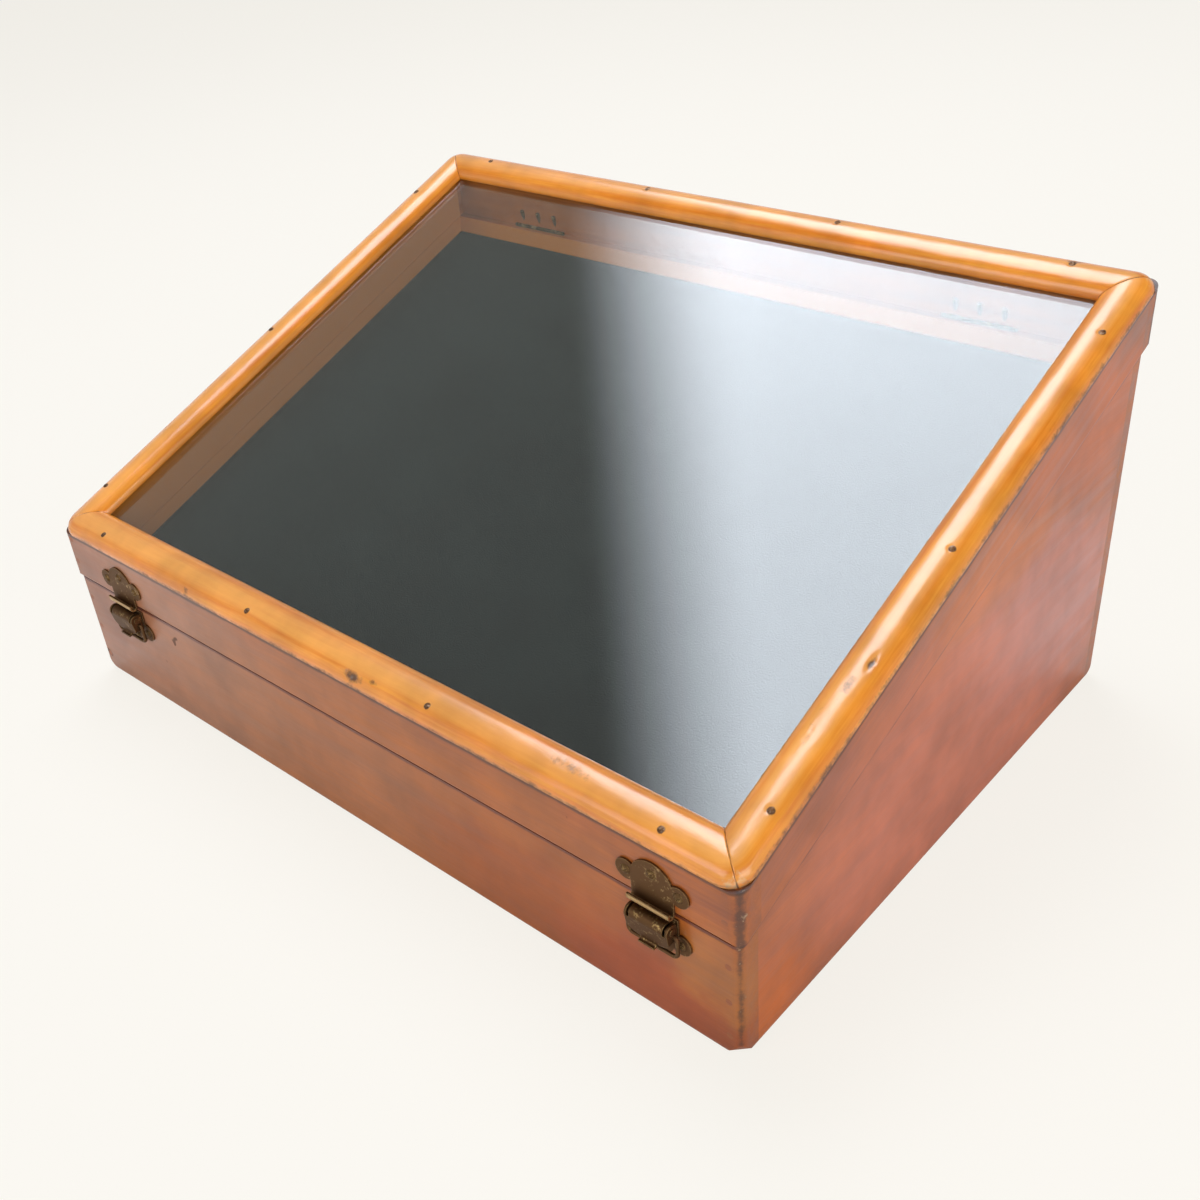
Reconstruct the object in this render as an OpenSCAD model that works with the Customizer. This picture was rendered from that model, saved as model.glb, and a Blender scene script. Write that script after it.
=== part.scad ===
// Slant-front wooden display case: a wedge base, a glazed lid hinged at the back and two draw catches.
// X runs across the front, Y to the back, Z up. The origin is the middle of the base's resting face.

/* [Base] */
// Outside width of the base
case_w = 460; // [380:5:540]
// Outside depth of the base
case_d = 322; // [270:5:390]
// Height of the base's front edge
front_h = 65; // [56:1:90]
// Height of the base's back edge
back_h = 188; // [150:1:220]
// Thickness of the base's boards
board_t = 11; // [9:0.5:14]
// Rounding of the base's upright corners
corner_r = 4; // [2:0.5:5]
// Rounding of the edges that the case stands on
foot_r = 5; // [2:0.5:5]
// Rounding of the four lower corners across the diagonal
foot_corner_r = 12; // [8:1:14]
// Thickness of the bottom panel
bottom_t = 6; // [4:0.5:9]
// Thickness of the boards outside the bottom panel's rebate
foot_lip = 6; // [6:0.5:7.5]

/* [Lid] */
// Upright height of the lid's sides
lid_h = 29; // [26:1:40]
// Thickness of the lid's rails
rail_t = 12.5; // [10:0.5:16]
// How far the lid stands out over the front and the sides
lid_over = 1.5; // [0.5:0.5:3]
// How far the lid stands out over the back, where it is also the lid's stop
lid_back_over = 5; // [3:0.5:6]
// Gap between base and lid
seam_gap = 0.3; // [0.2:0.1:0.6]
// Rounding of the lid's upright corners
lid_corner_r = 6; // [3:0.5:7]
// Rounding of the lid's lower edge at the front and the sides
lid_edge_r = 2.5; // [0.5:0.5:3]
// Rounding of the lid's lower edge at the back
lid_back_r = 5; // [2:0.5:6]

/* [Glass and moulding] */
// Thickness of the glass
glass_t = 3; // [2:0.5:4]
// Distance from the lid's outside to the glass's edge
glass_inset = 9; // [8.5:0.5:10]
// Play around the glass in its rebate
glass_play = 0.3; // [0.2:0.1:0.6]
// Width of the moulding
mould_w = 21; // [18:0.5:24]
// Height of the moulding
mould_h = 7; // [6:0.5:9]
// Rounding of the moulding's outer corners
mould_corner_r = 11; // [6:0.5:12]
// Distance from the moulding's outer edge to its pins
pin_inset = 7; // [6:0.5:7]
// Distance from a corner to the nearest pin in the front and back moulding
end_pin_in = 39.5; // [25:0.5:60]
// Distance from the front corner to the first pin in a side moulding
side_pin_first = 33; // [30:1:50]
// Distance from the back corner to the last pin in a side moulding
side_pin_last = 46.5; // [30:0.5:60]
// Diameter of a pin's head
pin_head_d = 3; // [2:0.2:4]
// Length of a pin
pin_l = 20; // [17:1:20]

/* [Display board] */
// Depth of the lining's face below the seam
lining_drop = 8; // [4:0.5:12]
// Thickness of the lining
lining_t = 1.5; // [1:0.5:3]
// Thickness of the board under the lining
panel_t = 6; // [4:0.5:9]
// Width and height of the battens that carry the board
batten = 12; // [8:1:16]
// Play of the board between the walls
panel_play = 0.3; // [0.2:0.1:0.8]

/* [Catches] */
// Distance from the base's left side to the middle of the left catch
left_catch_in = 51; // [36:1:110]
// Distance from the base's right side to the middle of the right catch
right_catch_in = 40; // [36:1:110]
// Thickness of the catch's plates
plate_t = 1; // [0.8:0.1:1.2]
// Radius of the lobes that hold the screws
lobe_r = 5; // [4.5:0.25:6]
// Distance of the side lobes from the catch's middle
lobe_x = 13.5; // [13:0.5:15]
// Width of the keeper's hook
hook_w = 21; // [18:0.5:22]
// Inside radius of the keeper's hook
hook_r = 1.2; // [1.1:0.05:1.3]
// Height of the hook's middle above the seam
hook_rise = 2.3; // [2.3:0.1:3]
// Height of the hook's lip above its middle
hook_lip = 1.6; // [1:0.1:1.8]
// Width of the lever
lever_w = 21.4; // [19:0.2:22]
// Length of the lever below its pin
lever_l = 9.5; // [9:0.5:12]
// Width of the lever's lower end
lever_end_w = 8; // [6:0.5:12]
// Thickness of the lever's sheet
lever_t = 0.9; // [0.7:0.1:1.1]
// Radius of the lever's round end
lever_r = 3.2; // [3:0.1:3.4]
// Distance of the lever's pin below the seam
pivot_drop = 5.5; // [5:0.25:7]
// Distance of the lever's pin in front of the base
pivot_out = 4.6; // [4.5:0.1:5]
// Diameter of the lever's pin
pivot_d = 1.8; // [1.6:0.1:2]
// Distance of the bail's pivot below the lever's pin
bail_drop = 3.2; // [3:0.1:4]
// Distance of the bail's pivot behind the lever's pin, which locks the lever
bail_back = 1; // [0.5:0.1:1.2]
// Diameter of the bail's wire
wire_d = 1.8; // [1.5:0.1:2]
// Gap between the lever's cheeks and the bail's legs
bail_gap = 0.9; // [0.7:0.1:1.2]

/* [Hinges] */
// Distance from the base's sides to the middle of the hinges
hinge_in = 80; // [50:5:120]
// Length of a hinge
hinge_l = 40; // [30:1:60]
// Width of a hinge leaf from the pin's middle
leaf_w = 9.5; // [8:0.5:10]
// Thickness of a hinge leaf
leaf_t = 1.2; // [1:0.1:1.4]
// Radius of the knuckles
knuckle_r = 2.4; // [2.2:0.1:2.8]
// Diameter of the hinge pin
hinge_pin_d = 2.4; // [2:0.1:2.6]
// Distance of the pin's middle behind the base's back
hinge_back = 0.4; // [0.3:0.1:0.8]

/* [Fasteners] */
// Diameter of a screw's shank
screw_d = 2.4; // [2:0.1:2.6]
// Diameter of a screw's head
screw_head_d = 4.8; // [4.4:0.1:5]
// Length of a screw under its head
screw_l = 8.5; // [6:0.5:9]
// Diameter of a nail
nail_d = 1.8; // [1.4:0.1:2.2]
// Diameter of a nail's head
nail_head_d = 3.2; // [2.6:0.1:3.6]
// Length of a nail
nail_l = 30; // [24:1:34]
// Play of each pin in the part that turns on it
running_play = 0.05; // [0.03:0.01:0.1]

/* [Hidden] */
$fn = 48;

// Slope of the seam, and the height of the seam above any place on the case
slope = atan((back_h - front_h) / case_d);
function seam_z(y) = front_h + (y + case_d / 2) * tan(slope);
function upright(t) = t / cos(slope);
lid_z0 = upright(seam_gap);
lid_w = case_w + 2 * lid_over;
lid_front_y = -case_d / 2 - lid_over;
lid_back_y = case_d / 2 + lid_back_over;

// The slope frame: its Y runs up the seam from the base's front edge, and its Z stands square to the seam
function along(y, p) = (y + case_d / 2 + p * sin(slope)) / cos(slope);
lid_top_p = seam_gap + lid_h * cos(slope);
top_s0 = along(lid_front_y, lid_top_p);
top_s1 = along(lid_back_y, lid_top_p);

reach = 2 * case_w;

module on_slope() {
    translate([0, -case_d / 2, front_h]) rotate([slope, 0, 0]) children();
}

// Turns an outline drawn in Y and Z into a solid from x0 to x1
module across(x0, x1) {
    translate([x0, 0, 0]) rotate([90, 0, 90]) linear_extrude(x1 - x0) children();
}

// Turns an outline drawn in X and Z into a solid from y0 to y1
module through(y0, y1) {
    translate([0, y1, 0]) rotate([90, 0, 0]) linear_extrude(y1 - y0) children();
}

module rounded_plan(x0, x1, y0, y1, r) {
    translate([x0 + r, y0]) square([x1 - x0 - 2 * r, y1 - y0]);
    translate([x0, y0 + r]) square([x1 - x0, y1 - y0 - 2 * r]);
    for (x = [x0 + r, x1 - r], y = [y0 + r, y1 - r]) translate([x, y]) circle(r);
}

// A profile whose two lower corners are rounded, and whose top runs from z0 to z1
module footed_profile(a, b, z0, z1, r) {
    polygon([[a, r], [b, r], [b, z1], [a, z0]]);
    translate([a + r, 0]) square([b - a - 2 * r, 2 * r]);
    for (c = [a + r, b - r]) translate([c, r]) circle(r);
}

// A strip that follows the seam from y0 to y1 and lies between two upright distances from it
module seam_strip(y0, y1, low, high) {
    polygon([
        [y0, seam_z(y0) + low], [y1, seam_z(y1) + low], [y1, seam_z(y1) + high], [y0, seam_z(y0) + high]
    ]);
}

// Base
inner_x = case_w / 2 - board_t;
inner_y = case_d / 2 - board_t;
bottom_rebate = board_t - foot_lip;

// Outline across the diagonal. Its upright sides stand a little outside the rounded corners, so that only the lower
// corners are cut.
module diagonal_profile() {
    out = 0.4;
    flats = 6;
    half = (case_w + case_d) / (2 * sqrt(2)) - (sqrt(2) - 1) * corner_r + out;
    arc = [for (i = [0:flats]) let (turn = 90 * i / flats)
        [half - foot_corner_r * (1 - sin(turn)), foot_corner_r * (1 - cos(turn))]];
    mirrored = [for (i = [flats:-1:0]) [-arc[i].x, arc[i].y]];
    polygon(concat(arc, [[half, reach], [-half, reach]], mirrored));
}

module base_envelope() {
    intersection() {
        linear_extrude(reach) rounded_plan(-case_w / 2, case_w / 2, -case_d / 2, case_d / 2, corner_r);
        across(-case_w, case_w) footed_profile(-case_d / 2, case_d / 2, front_h, back_h, foot_r);
        through(-case_d, case_d) footed_profile(-case_w / 2, case_w / 2, reach, reach, foot_r);
        rotate([0, 0, 45]) through(-case_w, case_w) diagonal_profile();
        rotate([0, 0, -45]) through(-case_w, case_w) diagonal_profile();
    }
}

bottom_x = inner_x + bottom_rebate;
bottom_y = inner_y + bottom_rebate;

module bottom_room() {
    translate([-bottom_x, -bottom_y, -1]) cube([2 * bottom_x, 2 * bottom_y, bottom_t + 1]);
}

module base_front() {
    color("sienna") difference() {
        intersection() {
            base_envelope();
            translate([-reach / 2, -case_d / 2, 0]) cube([reach, board_t, reach]);
        }
        bottom_room();
        corner_nail_shapes();
        bottom_nail_shapes();
        catch_screw_shapes();
    }
}

module base_back() {
    color("sienna") difference() {
        intersection() {
            base_envelope();
            translate([-reach / 2, inner_y, 0]) cube([reach, board_t, reach]);
        }
        bottom_room();
        corner_nail_shapes();
        bottom_nail_shapes();
        hinge_room();
        hinge_screw_shapes(-1);
    }
}

module base_side(side) {
    color("sienna") difference() {
        intersection() {
            base_envelope();
            translate([side > 0 ? inner_x : -case_w / 2, -inner_y, 0]) cube([board_t, 2 * inner_y, reach]);
        }
        bottom_room();
        corner_nail_shapes();
        bottom_nail_shapes();
    }
}

module base_bottom() {
    color("tan") difference() {
        intersection() {
            base_envelope();
            translate([-bottom_x, -bottom_y, 0]) cube([2 * bottom_x, 2 * bottom_y, bottom_t]);
        }
        bottom_nail_shapes();
    }
}

// Battens and display board
lining_top = -upright(lining_drop);
panel_top = lining_top - upright(lining_t);
panel_low = panel_top - upright(panel_t);

module batten_end(y) {
    y0 = y < 0 ? -inner_y : inner_y - batten;
    color("peru") across(-inner_x, inner_x) seam_strip(y0, y0 + batten, panel_low - batten, panel_low);
}

module batten_side(side) {
    x0 = side > 0 ? inner_x - batten : -inner_x;
    color("peru") across(x0, x0 + batten)
        seam_strip(-inner_y + batten, inner_y - batten, panel_low - batten, panel_low);
}

module board_layer(low, high) {
    across(-inner_x + panel_play, inner_x - panel_play)
        seam_strip(-inner_y + panel_play, inner_y - panel_play, low, high);
}

module display_board() {
    color("burlywood") board_layer(panel_low, panel_top);
}

module display_lining() {
    color("darkslategray") board_layer(panel_top, lining_top);
}

// Nails, each a shank with a flat head let in flush
module nail(length) {
    head_t = 0.6;
    translate([0, 0, -length]) cylinder(d = nail_d, h = length);
    translate([0, 0, -head_t]) cylinder(d = nail_head_d, h = head_t);
}

nail_x = case_w / 2 - board_t / 2 - 0.5;
front_nails = 3;
back_nails = 4;

function spread(count, low, high) = [for (i = [0:count - 1]) low + (high - low) * i / (count - 1)];

module corner_nail_shapes() {
    end_gap = 13;
    for (x = [-nail_x, nail_x]) {
        for (z = spread(front_nails, end_gap, front_h - end_gap))
            translate([x, -case_d / 2, z]) rotate([90, 0, 0]) nail(nail_l);
        for (z = spread(back_nails, end_gap, back_h - 2 * end_gap))
            translate([x, case_d / 2, z]) rotate([-90, 0, 0]) nail(nail_l);
    }
}

module base_corner_nails() {
    color("dimgray") corner_nail_shapes();
}

// Short tacks that hold the bottom panel up into its rebate
module bottom_nail_shapes() {
    tack_in = bottom_rebate / 2;
    tack_l = 18;
    tack_d = 1.4;
    tack_head_d = 3;
    tack_head_t = 0.6;
    x = bottom_x - tack_in;
    y = bottom_y - tack_in;
    spots = concat(
        [for (a = spread(4, -0.8, 0.8), b = [-y, y]) [a * inner_x, b]],
        [for (a = [-x, x], b = spread(3, -0.7, 0.7)) [a, b * inner_y]]
    );
    for (p = spots) translate([p.x, p.y, 0]) {
        cylinder(d = tack_d, h = tack_l);
        cylinder(d = tack_head_d, h = tack_head_t);
    }
}

module bottom_nails() {
    color("dimgray") bottom_nail_shapes();
}

// Lid frame
lid_inner_x = lid_w / 2 - rail_t;
rebate_x = lid_w / 2 - glass_inset + glass_play;

// Middle of the rounding of the lid's lower edge, and the point where it meets the seam
function edge_middle(y, r) = [y, seam_z(y) + lid_z0 + upright(r)];
function edge_foot(y, r) = edge_middle(y, r) + r * [sin(slope), -cos(slope)];

module lid_profile() {
    front = lid_front_y + lid_edge_r;
    back = lid_back_y - lid_back_r;
    polygon([
        [lid_front_y, edge_middle(front, lid_edge_r).y], edge_foot(front, lid_edge_r),
        edge_foot(back, lid_back_r), [lid_back_y, edge_middle(back, lid_back_r).y],
        [lid_back_y, seam_z(lid_back_y) + lid_z0 + lid_h], [lid_front_y, seam_z(lid_front_y) + lid_z0 + lid_h]
    ]);
    translate(edge_middle(front, lid_edge_r)) circle(lid_edge_r);
    translate(edge_middle(back, lid_back_r)) circle(lid_back_r);
}

module lid_envelope() {
    intersection() {
        linear_extrude(reach) rounded_plan(-lid_w / 2, lid_w / 2, lid_front_y, lid_back_y, lid_corner_r);
        across(-lid_w, lid_w) lid_profile();
        on_slope() translate([0, 0, seam_gap]) through(-case_d, reach)
            footed_profile(-lid_w / 2, lid_w / 2, reach, reach, lid_edge_r);
    }
}

module glass_room() {
    s0 = top_s0 + glass_inset - glass_play;
    s1 = top_s1 - glass_inset + glass_play;
    on_slope() translate([-rebate_x, s0, lid_top_p - glass_t]) cube([2 * rebate_x, s1 - s0, 2 * glass_t]);
}

module lid_end_rail(y0) {
    intersection() {
        lid_envelope();
        translate([-reach / 2, y0, 0]) cube([reach, rail_t, reach]);
    }
}

module lid_front_rail() {
    color("sienna") difference() {
        lid_end_rail(lid_front_y);
        glass_room();
        on_slope() pin_holes(front_pin_spots);
        lid_nail_shapes();
        keeper_screw_shapes();
    }
}

module lid_back_rail() {
    color("sienna") difference() {
        lid_end_rail(lid_back_y - rail_t);
        glass_room();
        on_slope() pin_holes(back_pin_spots);
        lid_nail_shapes();
        hinge_room();
        hinge_screw_shapes(1);
    }
}

module lid_side_rail(side) {
    x0 = side > 0 ? lid_inner_x : -lid_w / 2;
    color("sienna") difference() {
        intersection() {
            lid_envelope();
            translate([x0, lid_front_y + rail_t, 0]) cube([rail_t, lid_back_y - lid_front_y - 2 * rail_t, reach]);
        }
        glass_room();
        on_slope() pin_holes(side > 0 ? right_pin_spots : left_pin_spots);
        lid_nail_shapes();
    }
}

module lid_nail_shapes() {
    length = 24;
    edge_gap = 3;
    rise = (length * sin(slope)) / cos(slope);
    x = lid_w / 2 - lid_corner_r - nail_head_d / 2;
    for (side = [-x, x]) {
        for (z = [rise + edge_gap, lid_h - edge_gap])
            translate([side, lid_front_y, seam_z(lid_front_y) + lid_z0 + z]) rotate([90, 0, 0]) nail(length);
        for (z = [lid_back_r + nail_head_d / 2, lid_h - rise - edge_gap])
            translate([side, lid_back_y, seam_z(lid_back_y) + lid_z0 + z]) rotate([-90, 0, 0]) nail(length);
    }
}

module lid_corner_nails() {
    color("dimgray") lid_nail_shapes();
}

module glass_pane() {
    x = lid_w / 2 - glass_inset;
    color("lightcyan", 0.4) on_slope()
        translate([-x, top_s0 + glass_inset, lid_top_p - glass_t])
            cube([2 * x, top_s1 - top_s0 - 2 * glass_inset, glass_t]);
}

// Moulding: a half-round section, mitred at the corners, with its outer corners rounded

// Height of the moulding's face at a distance from its outer edge
function crown(a) = mould_h * sqrt(1 - pow(2 * a / mould_w - 1, 2));

module mould_section() {
    flats = 24;
    polygon([for (i = [0:flats]) let (turn = 180 * i / flats) [mould_w * (1 - cos(turn)) / 2, mould_h * sin(turn)]]);
}

// A strip lies along one side of the lid's top and is cut at 45 degrees at both ends
module mitred_plan(length) {
    polygon([[0, 0], [length, 0], [length - mould_w, mould_w], [mould_w, mould_w]]);
}

// The outer corners are rubbed round; the straight edges lie a little inside this outline
module mould_corners() {
    out = 0.5;
    rounded_plan(-lid_w / 2 - out, lid_w / 2 + out, top_s0 - out, top_s1 + out, mould_corner_r);
}

module moulding(place, turn, length, spots) {
    color("darkorange") on_slope() difference() {
        translate([0, 0, lid_top_p]) intersection() {
            translate(place) rotate([0, 0, turn]) across(0, length) mould_section();
            linear_extrude(mould_h + 1) intersection() {
                mould_corners();
                translate(place) rotate(turn) mitred_plan(length);
            }
        }
        pin_holes(spots);
    }
}

module moulding_front() { moulding([-lid_w / 2, top_s0], 0, lid_w, front_pin_spots); }
module moulding_back() { moulding([lid_w / 2, top_s1], 180, lid_w, back_pin_spots); }
module moulding_left() { moulding([-lid_w / 2, top_s1], -90, top_s1 - top_s0, left_pin_spots); }
module moulding_right() { moulding([lid_w / 2, top_s0], 90, top_s1 - top_s0, right_pin_spots); }

// Domed pins through the moulding into the rails
pin_shank_d = 1.4;
pin_head_t = 1.6;
pin_z = lid_top_p + crown(pin_inset);

function end_pins(s) = [for (x = spread(4, end_pin_in - lid_w / 2, lid_w / 2 - end_pin_in)) [x, s]];
function side_pins(x) = [for (s = spread(3, top_s0 + side_pin_first, top_s1 - side_pin_last)) [x, s]];
front_pin_spots = end_pins(top_s0 + pin_inset);
back_pin_spots = end_pins(top_s1 - pin_inset);
left_pin_spots = side_pins(pin_inset - lid_w / 2);
right_pin_spots = side_pins(lid_w / 2 - pin_inset);

module pin_holes(spots) {
    for (p = spots) translate([p.x, p.y, pin_z]) {
        translate([0, 0, -pin_l]) cylinder(d = pin_shank_d, h = pin_l);
        translate([0, 0, -pin_head_t]) cylinder(d = pin_head_d, h = 2 * pin_head_t);
    }
}

module moulding_pin(dome) {
    dome_r = (pow(pin_head_d / 2, 2) + dome * dome) / (2 * dome);
    translate([0, 0, -pin_l]) cylinder(d = pin_shank_d, h = pin_l);
    translate([0, 0, -pin_head_t]) intersection() {
        cylinder(d = pin_head_d, h = pin_head_t + dome);
        translate([0, 0, pin_head_t + dome - dome_r]) sphere(dome_r);
    }
}

module moulding_pins() {
    dome = 0.3;
    color("saddlebrown") on_slope()
        for (p = concat(front_pin_spots, back_pin_spots, left_pin_spots, right_pin_spots))
            translate([p.x, p.y, pin_z]) moulding_pin(dome);
}

// Catches. In a catch's own frame X runs across, Y stands out from the base's front and Z is up from the seam.
module catch_frame(x) {
    translate([x, -case_d / 2, front_h]) rotate([0, 0, 180]) children();
}

left_catch_x = left_catch_in - case_w / 2;
right_catch_x = case_w / 2 - right_catch_in;
catch_spots = [left_catch_x, right_catch_x];
bail_y = pivot_out - bail_back;
bail_z = -pivot_drop - bail_drop;
hook_out_r = hook_r + plate_t;
hook_y = lid_over + hook_out_r;
// The bail reaches from its pivot to its seat in the hook
bail_l = hook_rise - hook_r + wire_d / 2 - bail_z;
bail_x = lever_w / 2 + bail_gap + wire_d / 2;
ear_t = 1;
ear_gap = 0.2;
ear_r = 1.9;
plate_low = bail_z - bail_l;
side_lobe_z = -15;
keeper_lobe_z = 12.5;
keeper_top_z = 17;
plate_lobe_x = lobe_x - 1.5;
catch_lobes = [[-plate_lobe_x, side_lobe_z], [plate_lobe_x, side_lobe_z], [0, plate_low]];
keeper_lobes = [[-lobe_x + 0.5, keeper_lobe_z], [lobe_x - 0.5, keeper_lobe_z], [0, keeper_top_z]];

module catch_outline() {
    half = lobe_x - lobe_r + 2.5;
    top_z = -pivot_drop + lever_r;
    translate([-half, side_lobe_z - 1]) square([2 * half, top_z - side_lobe_z + 1]);
    translate([0, side_lobe_z - 1]) circle(half - 2);
    translate([-lobe_r + 1, plate_low]) square([2 * lobe_r - 2, side_lobe_z - plate_low]);
    for (p = catch_lobes) translate(p) circle(lobe_r);
}

module keeper_outline() {
    translate([-hook_w / 2, hook_rise]) square([hook_w, keeper_lobe_z - hook_rise]);
    translate([0, keeper_lobe_z]) circle(hook_w / 2);
    for (p = keeper_lobes) translate(p) circle(lobe_r);
}

module at_pivot() {
    translate([pivot_out, -pivot_drop]) children();
}

module catch_plate(x) {
    color("darkkhaki") catch_frame(x) difference() {
        union() {
            through(0, plate_t) catch_outline();
            for (e = [-ear_x - ear_t, ear_x]) across(e, e + ear_t) {
                at_pivot() circle(ear_r);
                translate([plate_t / 2, -pivot_drop - ear_r]) square([pivot_out - plate_t / 2, 2 * ear_r]);
            }
        }
        across(-lever_w, lever_w) at_pivot() circle(d = pivot_d);
        for (p = catch_lobes) translate([p.x, 0, p.y]) screw_hole(plate_t);
    }
}

module catch_pin(x) {
    rivet_r = 1.5;
    rivet_t = 0.4;
    end = lever_w / 2 + running_play;
    color("gray") catch_frame(x) {
        across(-end - rivet_t, end + rivet_t) at_pivot() circle(d = pivot_d);
        for (e = [-end - rivet_t, end]) across(e, e + rivet_t) at_pivot() circle(rivet_r);
    }
}

// Side view of the lever: a round end about the pin, a tapered cheek and a lip to lift it by
ear_x = lever_w / 2 - lever_t - ear_gap - ear_t;
lever_low_y = pivot_out + lever_r - 1.6;
lever_low_z = -pivot_drop - lever_l;
cheek_back_y = pivot_out - lever_r;

module cheek_side() {
    at_pivot() circle(lever_r);
    polygon([
        [cheek_back_y, -pivot_drop], [pivot_out + lever_r, -pivot_drop],
        [lever_low_y, lever_low_z], [cheek_back_y + 1.2, lever_low_z], [cheek_back_y, lever_low_z + 3]
    ]);
}

// The front sheet starts below the pin, so that the ears stay clear as the lever swings up
module lever_hollow() {
    sheet_start = lever_r * sin(20);
    translate([-1, -pivot_drop - sheet_start]) square([lever_r + pivot_out + 2, lever_r + sheet_start + 1]);
    polygon([
        [-1, -pivot_drop], [pivot_out + lever_r - lever_t, -pivot_drop],
        [lever_low_y - lever_t, lever_low_z - 1], [-1, lever_low_z - 1]
    ]);
}

// The sheet is rolled round the pin between the ears
module lever_roll() {
    roll_low = -pivot_drop - lever_r / 2;
    at_pivot() difference() {
        circle(lever_r);
        circle(lever_r - lever_t);
    }
    intersection() {
        cheek_side();
        translate([pivot_out + lever_r - lever_t, roll_low]) square([lever_t, -pivot_drop - roll_low]);
    }
}

// Front view of the lever: full width down past the bail's pivot, then drawn in to its lower end
module lever_front() {
    flats = 6;
    shoulder_z = bail_z - wire_d / 2 - 1.2;
    curve = [for (i = [0:flats]) let (turn = 90 * i / flats)
        [(lever_end_w + (lever_w - lever_end_w) * cos(turn)) / 2, shoulder_z + (lever_low_z - shoulder_z) * sin(turn)]];
    mirrored = [for (i = [flats:-1:0]) [-curve[i].x, curve[i].y]];
    polygon(concat(
        [[-lever_w / 2, 0], [lever_w / 2, 0]], curve,
        [[lever_end_w / 2, lever_low_z - 1], [-lever_end_w / 2, lever_low_z - 1]], mirrored
    ));
}

module lever_lip() {
    lip_r = 2;
    translate([lever_low_y - lever_t + lip_r, lever_low_z + 0.02]) intersection() {
        difference() {
            circle(lip_r);
            circle(lip_r - lever_t);
        }
        translate([-lip_r, -lip_r]) square([lip_r + 0.6, lip_r]);
    }
}

module catch_lever(x) {
    roll_end = ear_x - ear_gap - 0.1;
    color("darkgoldenrod") catch_frame(x) difference() {
        union() {
            difference() {
                intersection() {
                    across(-lever_w / 2, lever_w / 2) cheek_side();
                    through(-reach, reach) lever_front();
                }
                across(-lever_w / 2 + lever_t, lever_w / 2 - lever_t) lever_hollow();
            }
            across(-roll_end, roll_end) lever_roll();
            across(-lever_end_w / 2, lever_end_w / 2) lever_lip();
        }
        across(-lever_w, lever_w) at_pivot() circle(d = pivot_d + 2 * running_play);
        across(-lever_w, lever_w) translate([bail_y, bail_z]) circle(d = wire_d + 2 * running_play);
    }
}

// Quarter bend of the bail's wire
module wire_bend(r) {
    rotate_extrude(angle = 90) translate([r, 0]) circle(d = wire_d);
}

module wire_run(length) {
    cylinder(d = wire_d, h = length);
}

// The bail hangs unhooked from the lever's cheeks
module catch_bail(x) {
    pivot_bend = 1.6;
    corner_bend = 2.6;
    tail = lever_t + 0.5;
    end_x = lever_w / 2 - tail;
    color("darkgoldenrod") catch_frame(x) translate([0, bail_y, bail_z]) {
        for (side = [0, 1]) mirror([side, 0, 0]) {
            translate([end_x, 0, 0]) rotate([0, 90, 0]) wire_run(bail_x - pivot_bend - end_x);
            translate([bail_x - pivot_bend, 0, -pivot_bend]) rotate([90, 0, 0]) wire_bend(pivot_bend);
            translate([bail_x, 0, corner_bend - bail_l]) wire_run(bail_l - corner_bend - pivot_bend);
            translate([bail_x - corner_bend, 0, corner_bend - bail_l]) rotate([90, 90, 0]) wire_bend(corner_bend);
        }
        translate([corner_bend - bail_x, 0, -bail_l]) rotate([0, 90, 0]) wire_run(2 * (bail_x - corner_bend));
    }
}

module hook_side() {
    translate([hook_y, hook_rise]) difference() {
        circle(hook_out_r);
        circle(hook_r);
        translate([-hook_out_r - 1, 0]) square(2 * hook_out_r + 2);
    }
    translate([hook_y + hook_r, hook_rise]) square([plate_t, hook_lip]);
}

module keeper(x) {
    color("darkkhaki") catch_frame(x) difference() {
        union() {
            through(lid_over, lid_over + plate_t) keeper_outline();
            across(-hook_w / 2, hook_w / 2) hook_side();
        }
        for (p = keeper_lobes) translate([p.x, lid_over, p.y]) screw_hole(plate_t);
    }
}

// Round-head screws, with the head's underside on the plate
module screw_hole(t) {
    translate([0, -1, 0]) rotate([-90, 0, 0]) cylinder(d = screw_d, h = t + 2);
}

module screw() {
    dome = 1;
    dome_r = (pow(screw_head_d / 2, 2) + dome * dome) / (2 * dome);
    slot_w = 0.7;
    rotate([-90, 0, 0]) {
        translate([0, 0, -screw_l]) cylinder(d = screw_d, h = screw_l);
        difference() {
            intersection() {
                cylinder(d = screw_head_d, h = dome);
                translate([0, 0, dome - dome_r]) sphere(dome_r);
            }
            rotate([0, 0, 35]) translate([-screw_head_d, -slot_w / 2, dome / 2]) cube([2 * screw_head_d, slot_w, dome]);
        }
    }
}

module catch_screw_shapes() {
    for (x = catch_spots) catch_frame(x)
        for (p = catch_lobes) translate([p.x, plate_t, p.y]) screw();
}

module keeper_screw_shapes() {
    for (x = catch_spots) catch_frame(x)
        for (p = keeper_lobes) translate([p.x, lid_over + plate_t, p.y]) screw();
}

module catch_screws() {
    color("khaki") catch_screw_shapes();
}

module keeper_screws() {
    color("khaki") keeper_screw_shapes();
}

// Hinges: butt hinges let into the seam, with the pin just behind the base's back
hinge_p = seam_gap / 2;
hinge_x = case_w / 2 - hinge_in;
hinge_s = along(case_d / 2 + hinge_back, hinge_p);
knuckles = 5;
knuckle_l = hinge_l / knuckles;
knuckle_gap = 0.1;
leaf_play = 0.15;

module hinge_frame(x) {
    on_slope() translate([x, hinge_s, hinge_p]) children();
}

module knuckle_rod(i, r, grow) {
    start = i * knuckle_l - hinge_l / 2 - grow;
    translate([start, 0, 0]) rotate([0, 90, 0]) cylinder(r = r, h = knuckle_l + 2 * grow);
}

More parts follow.
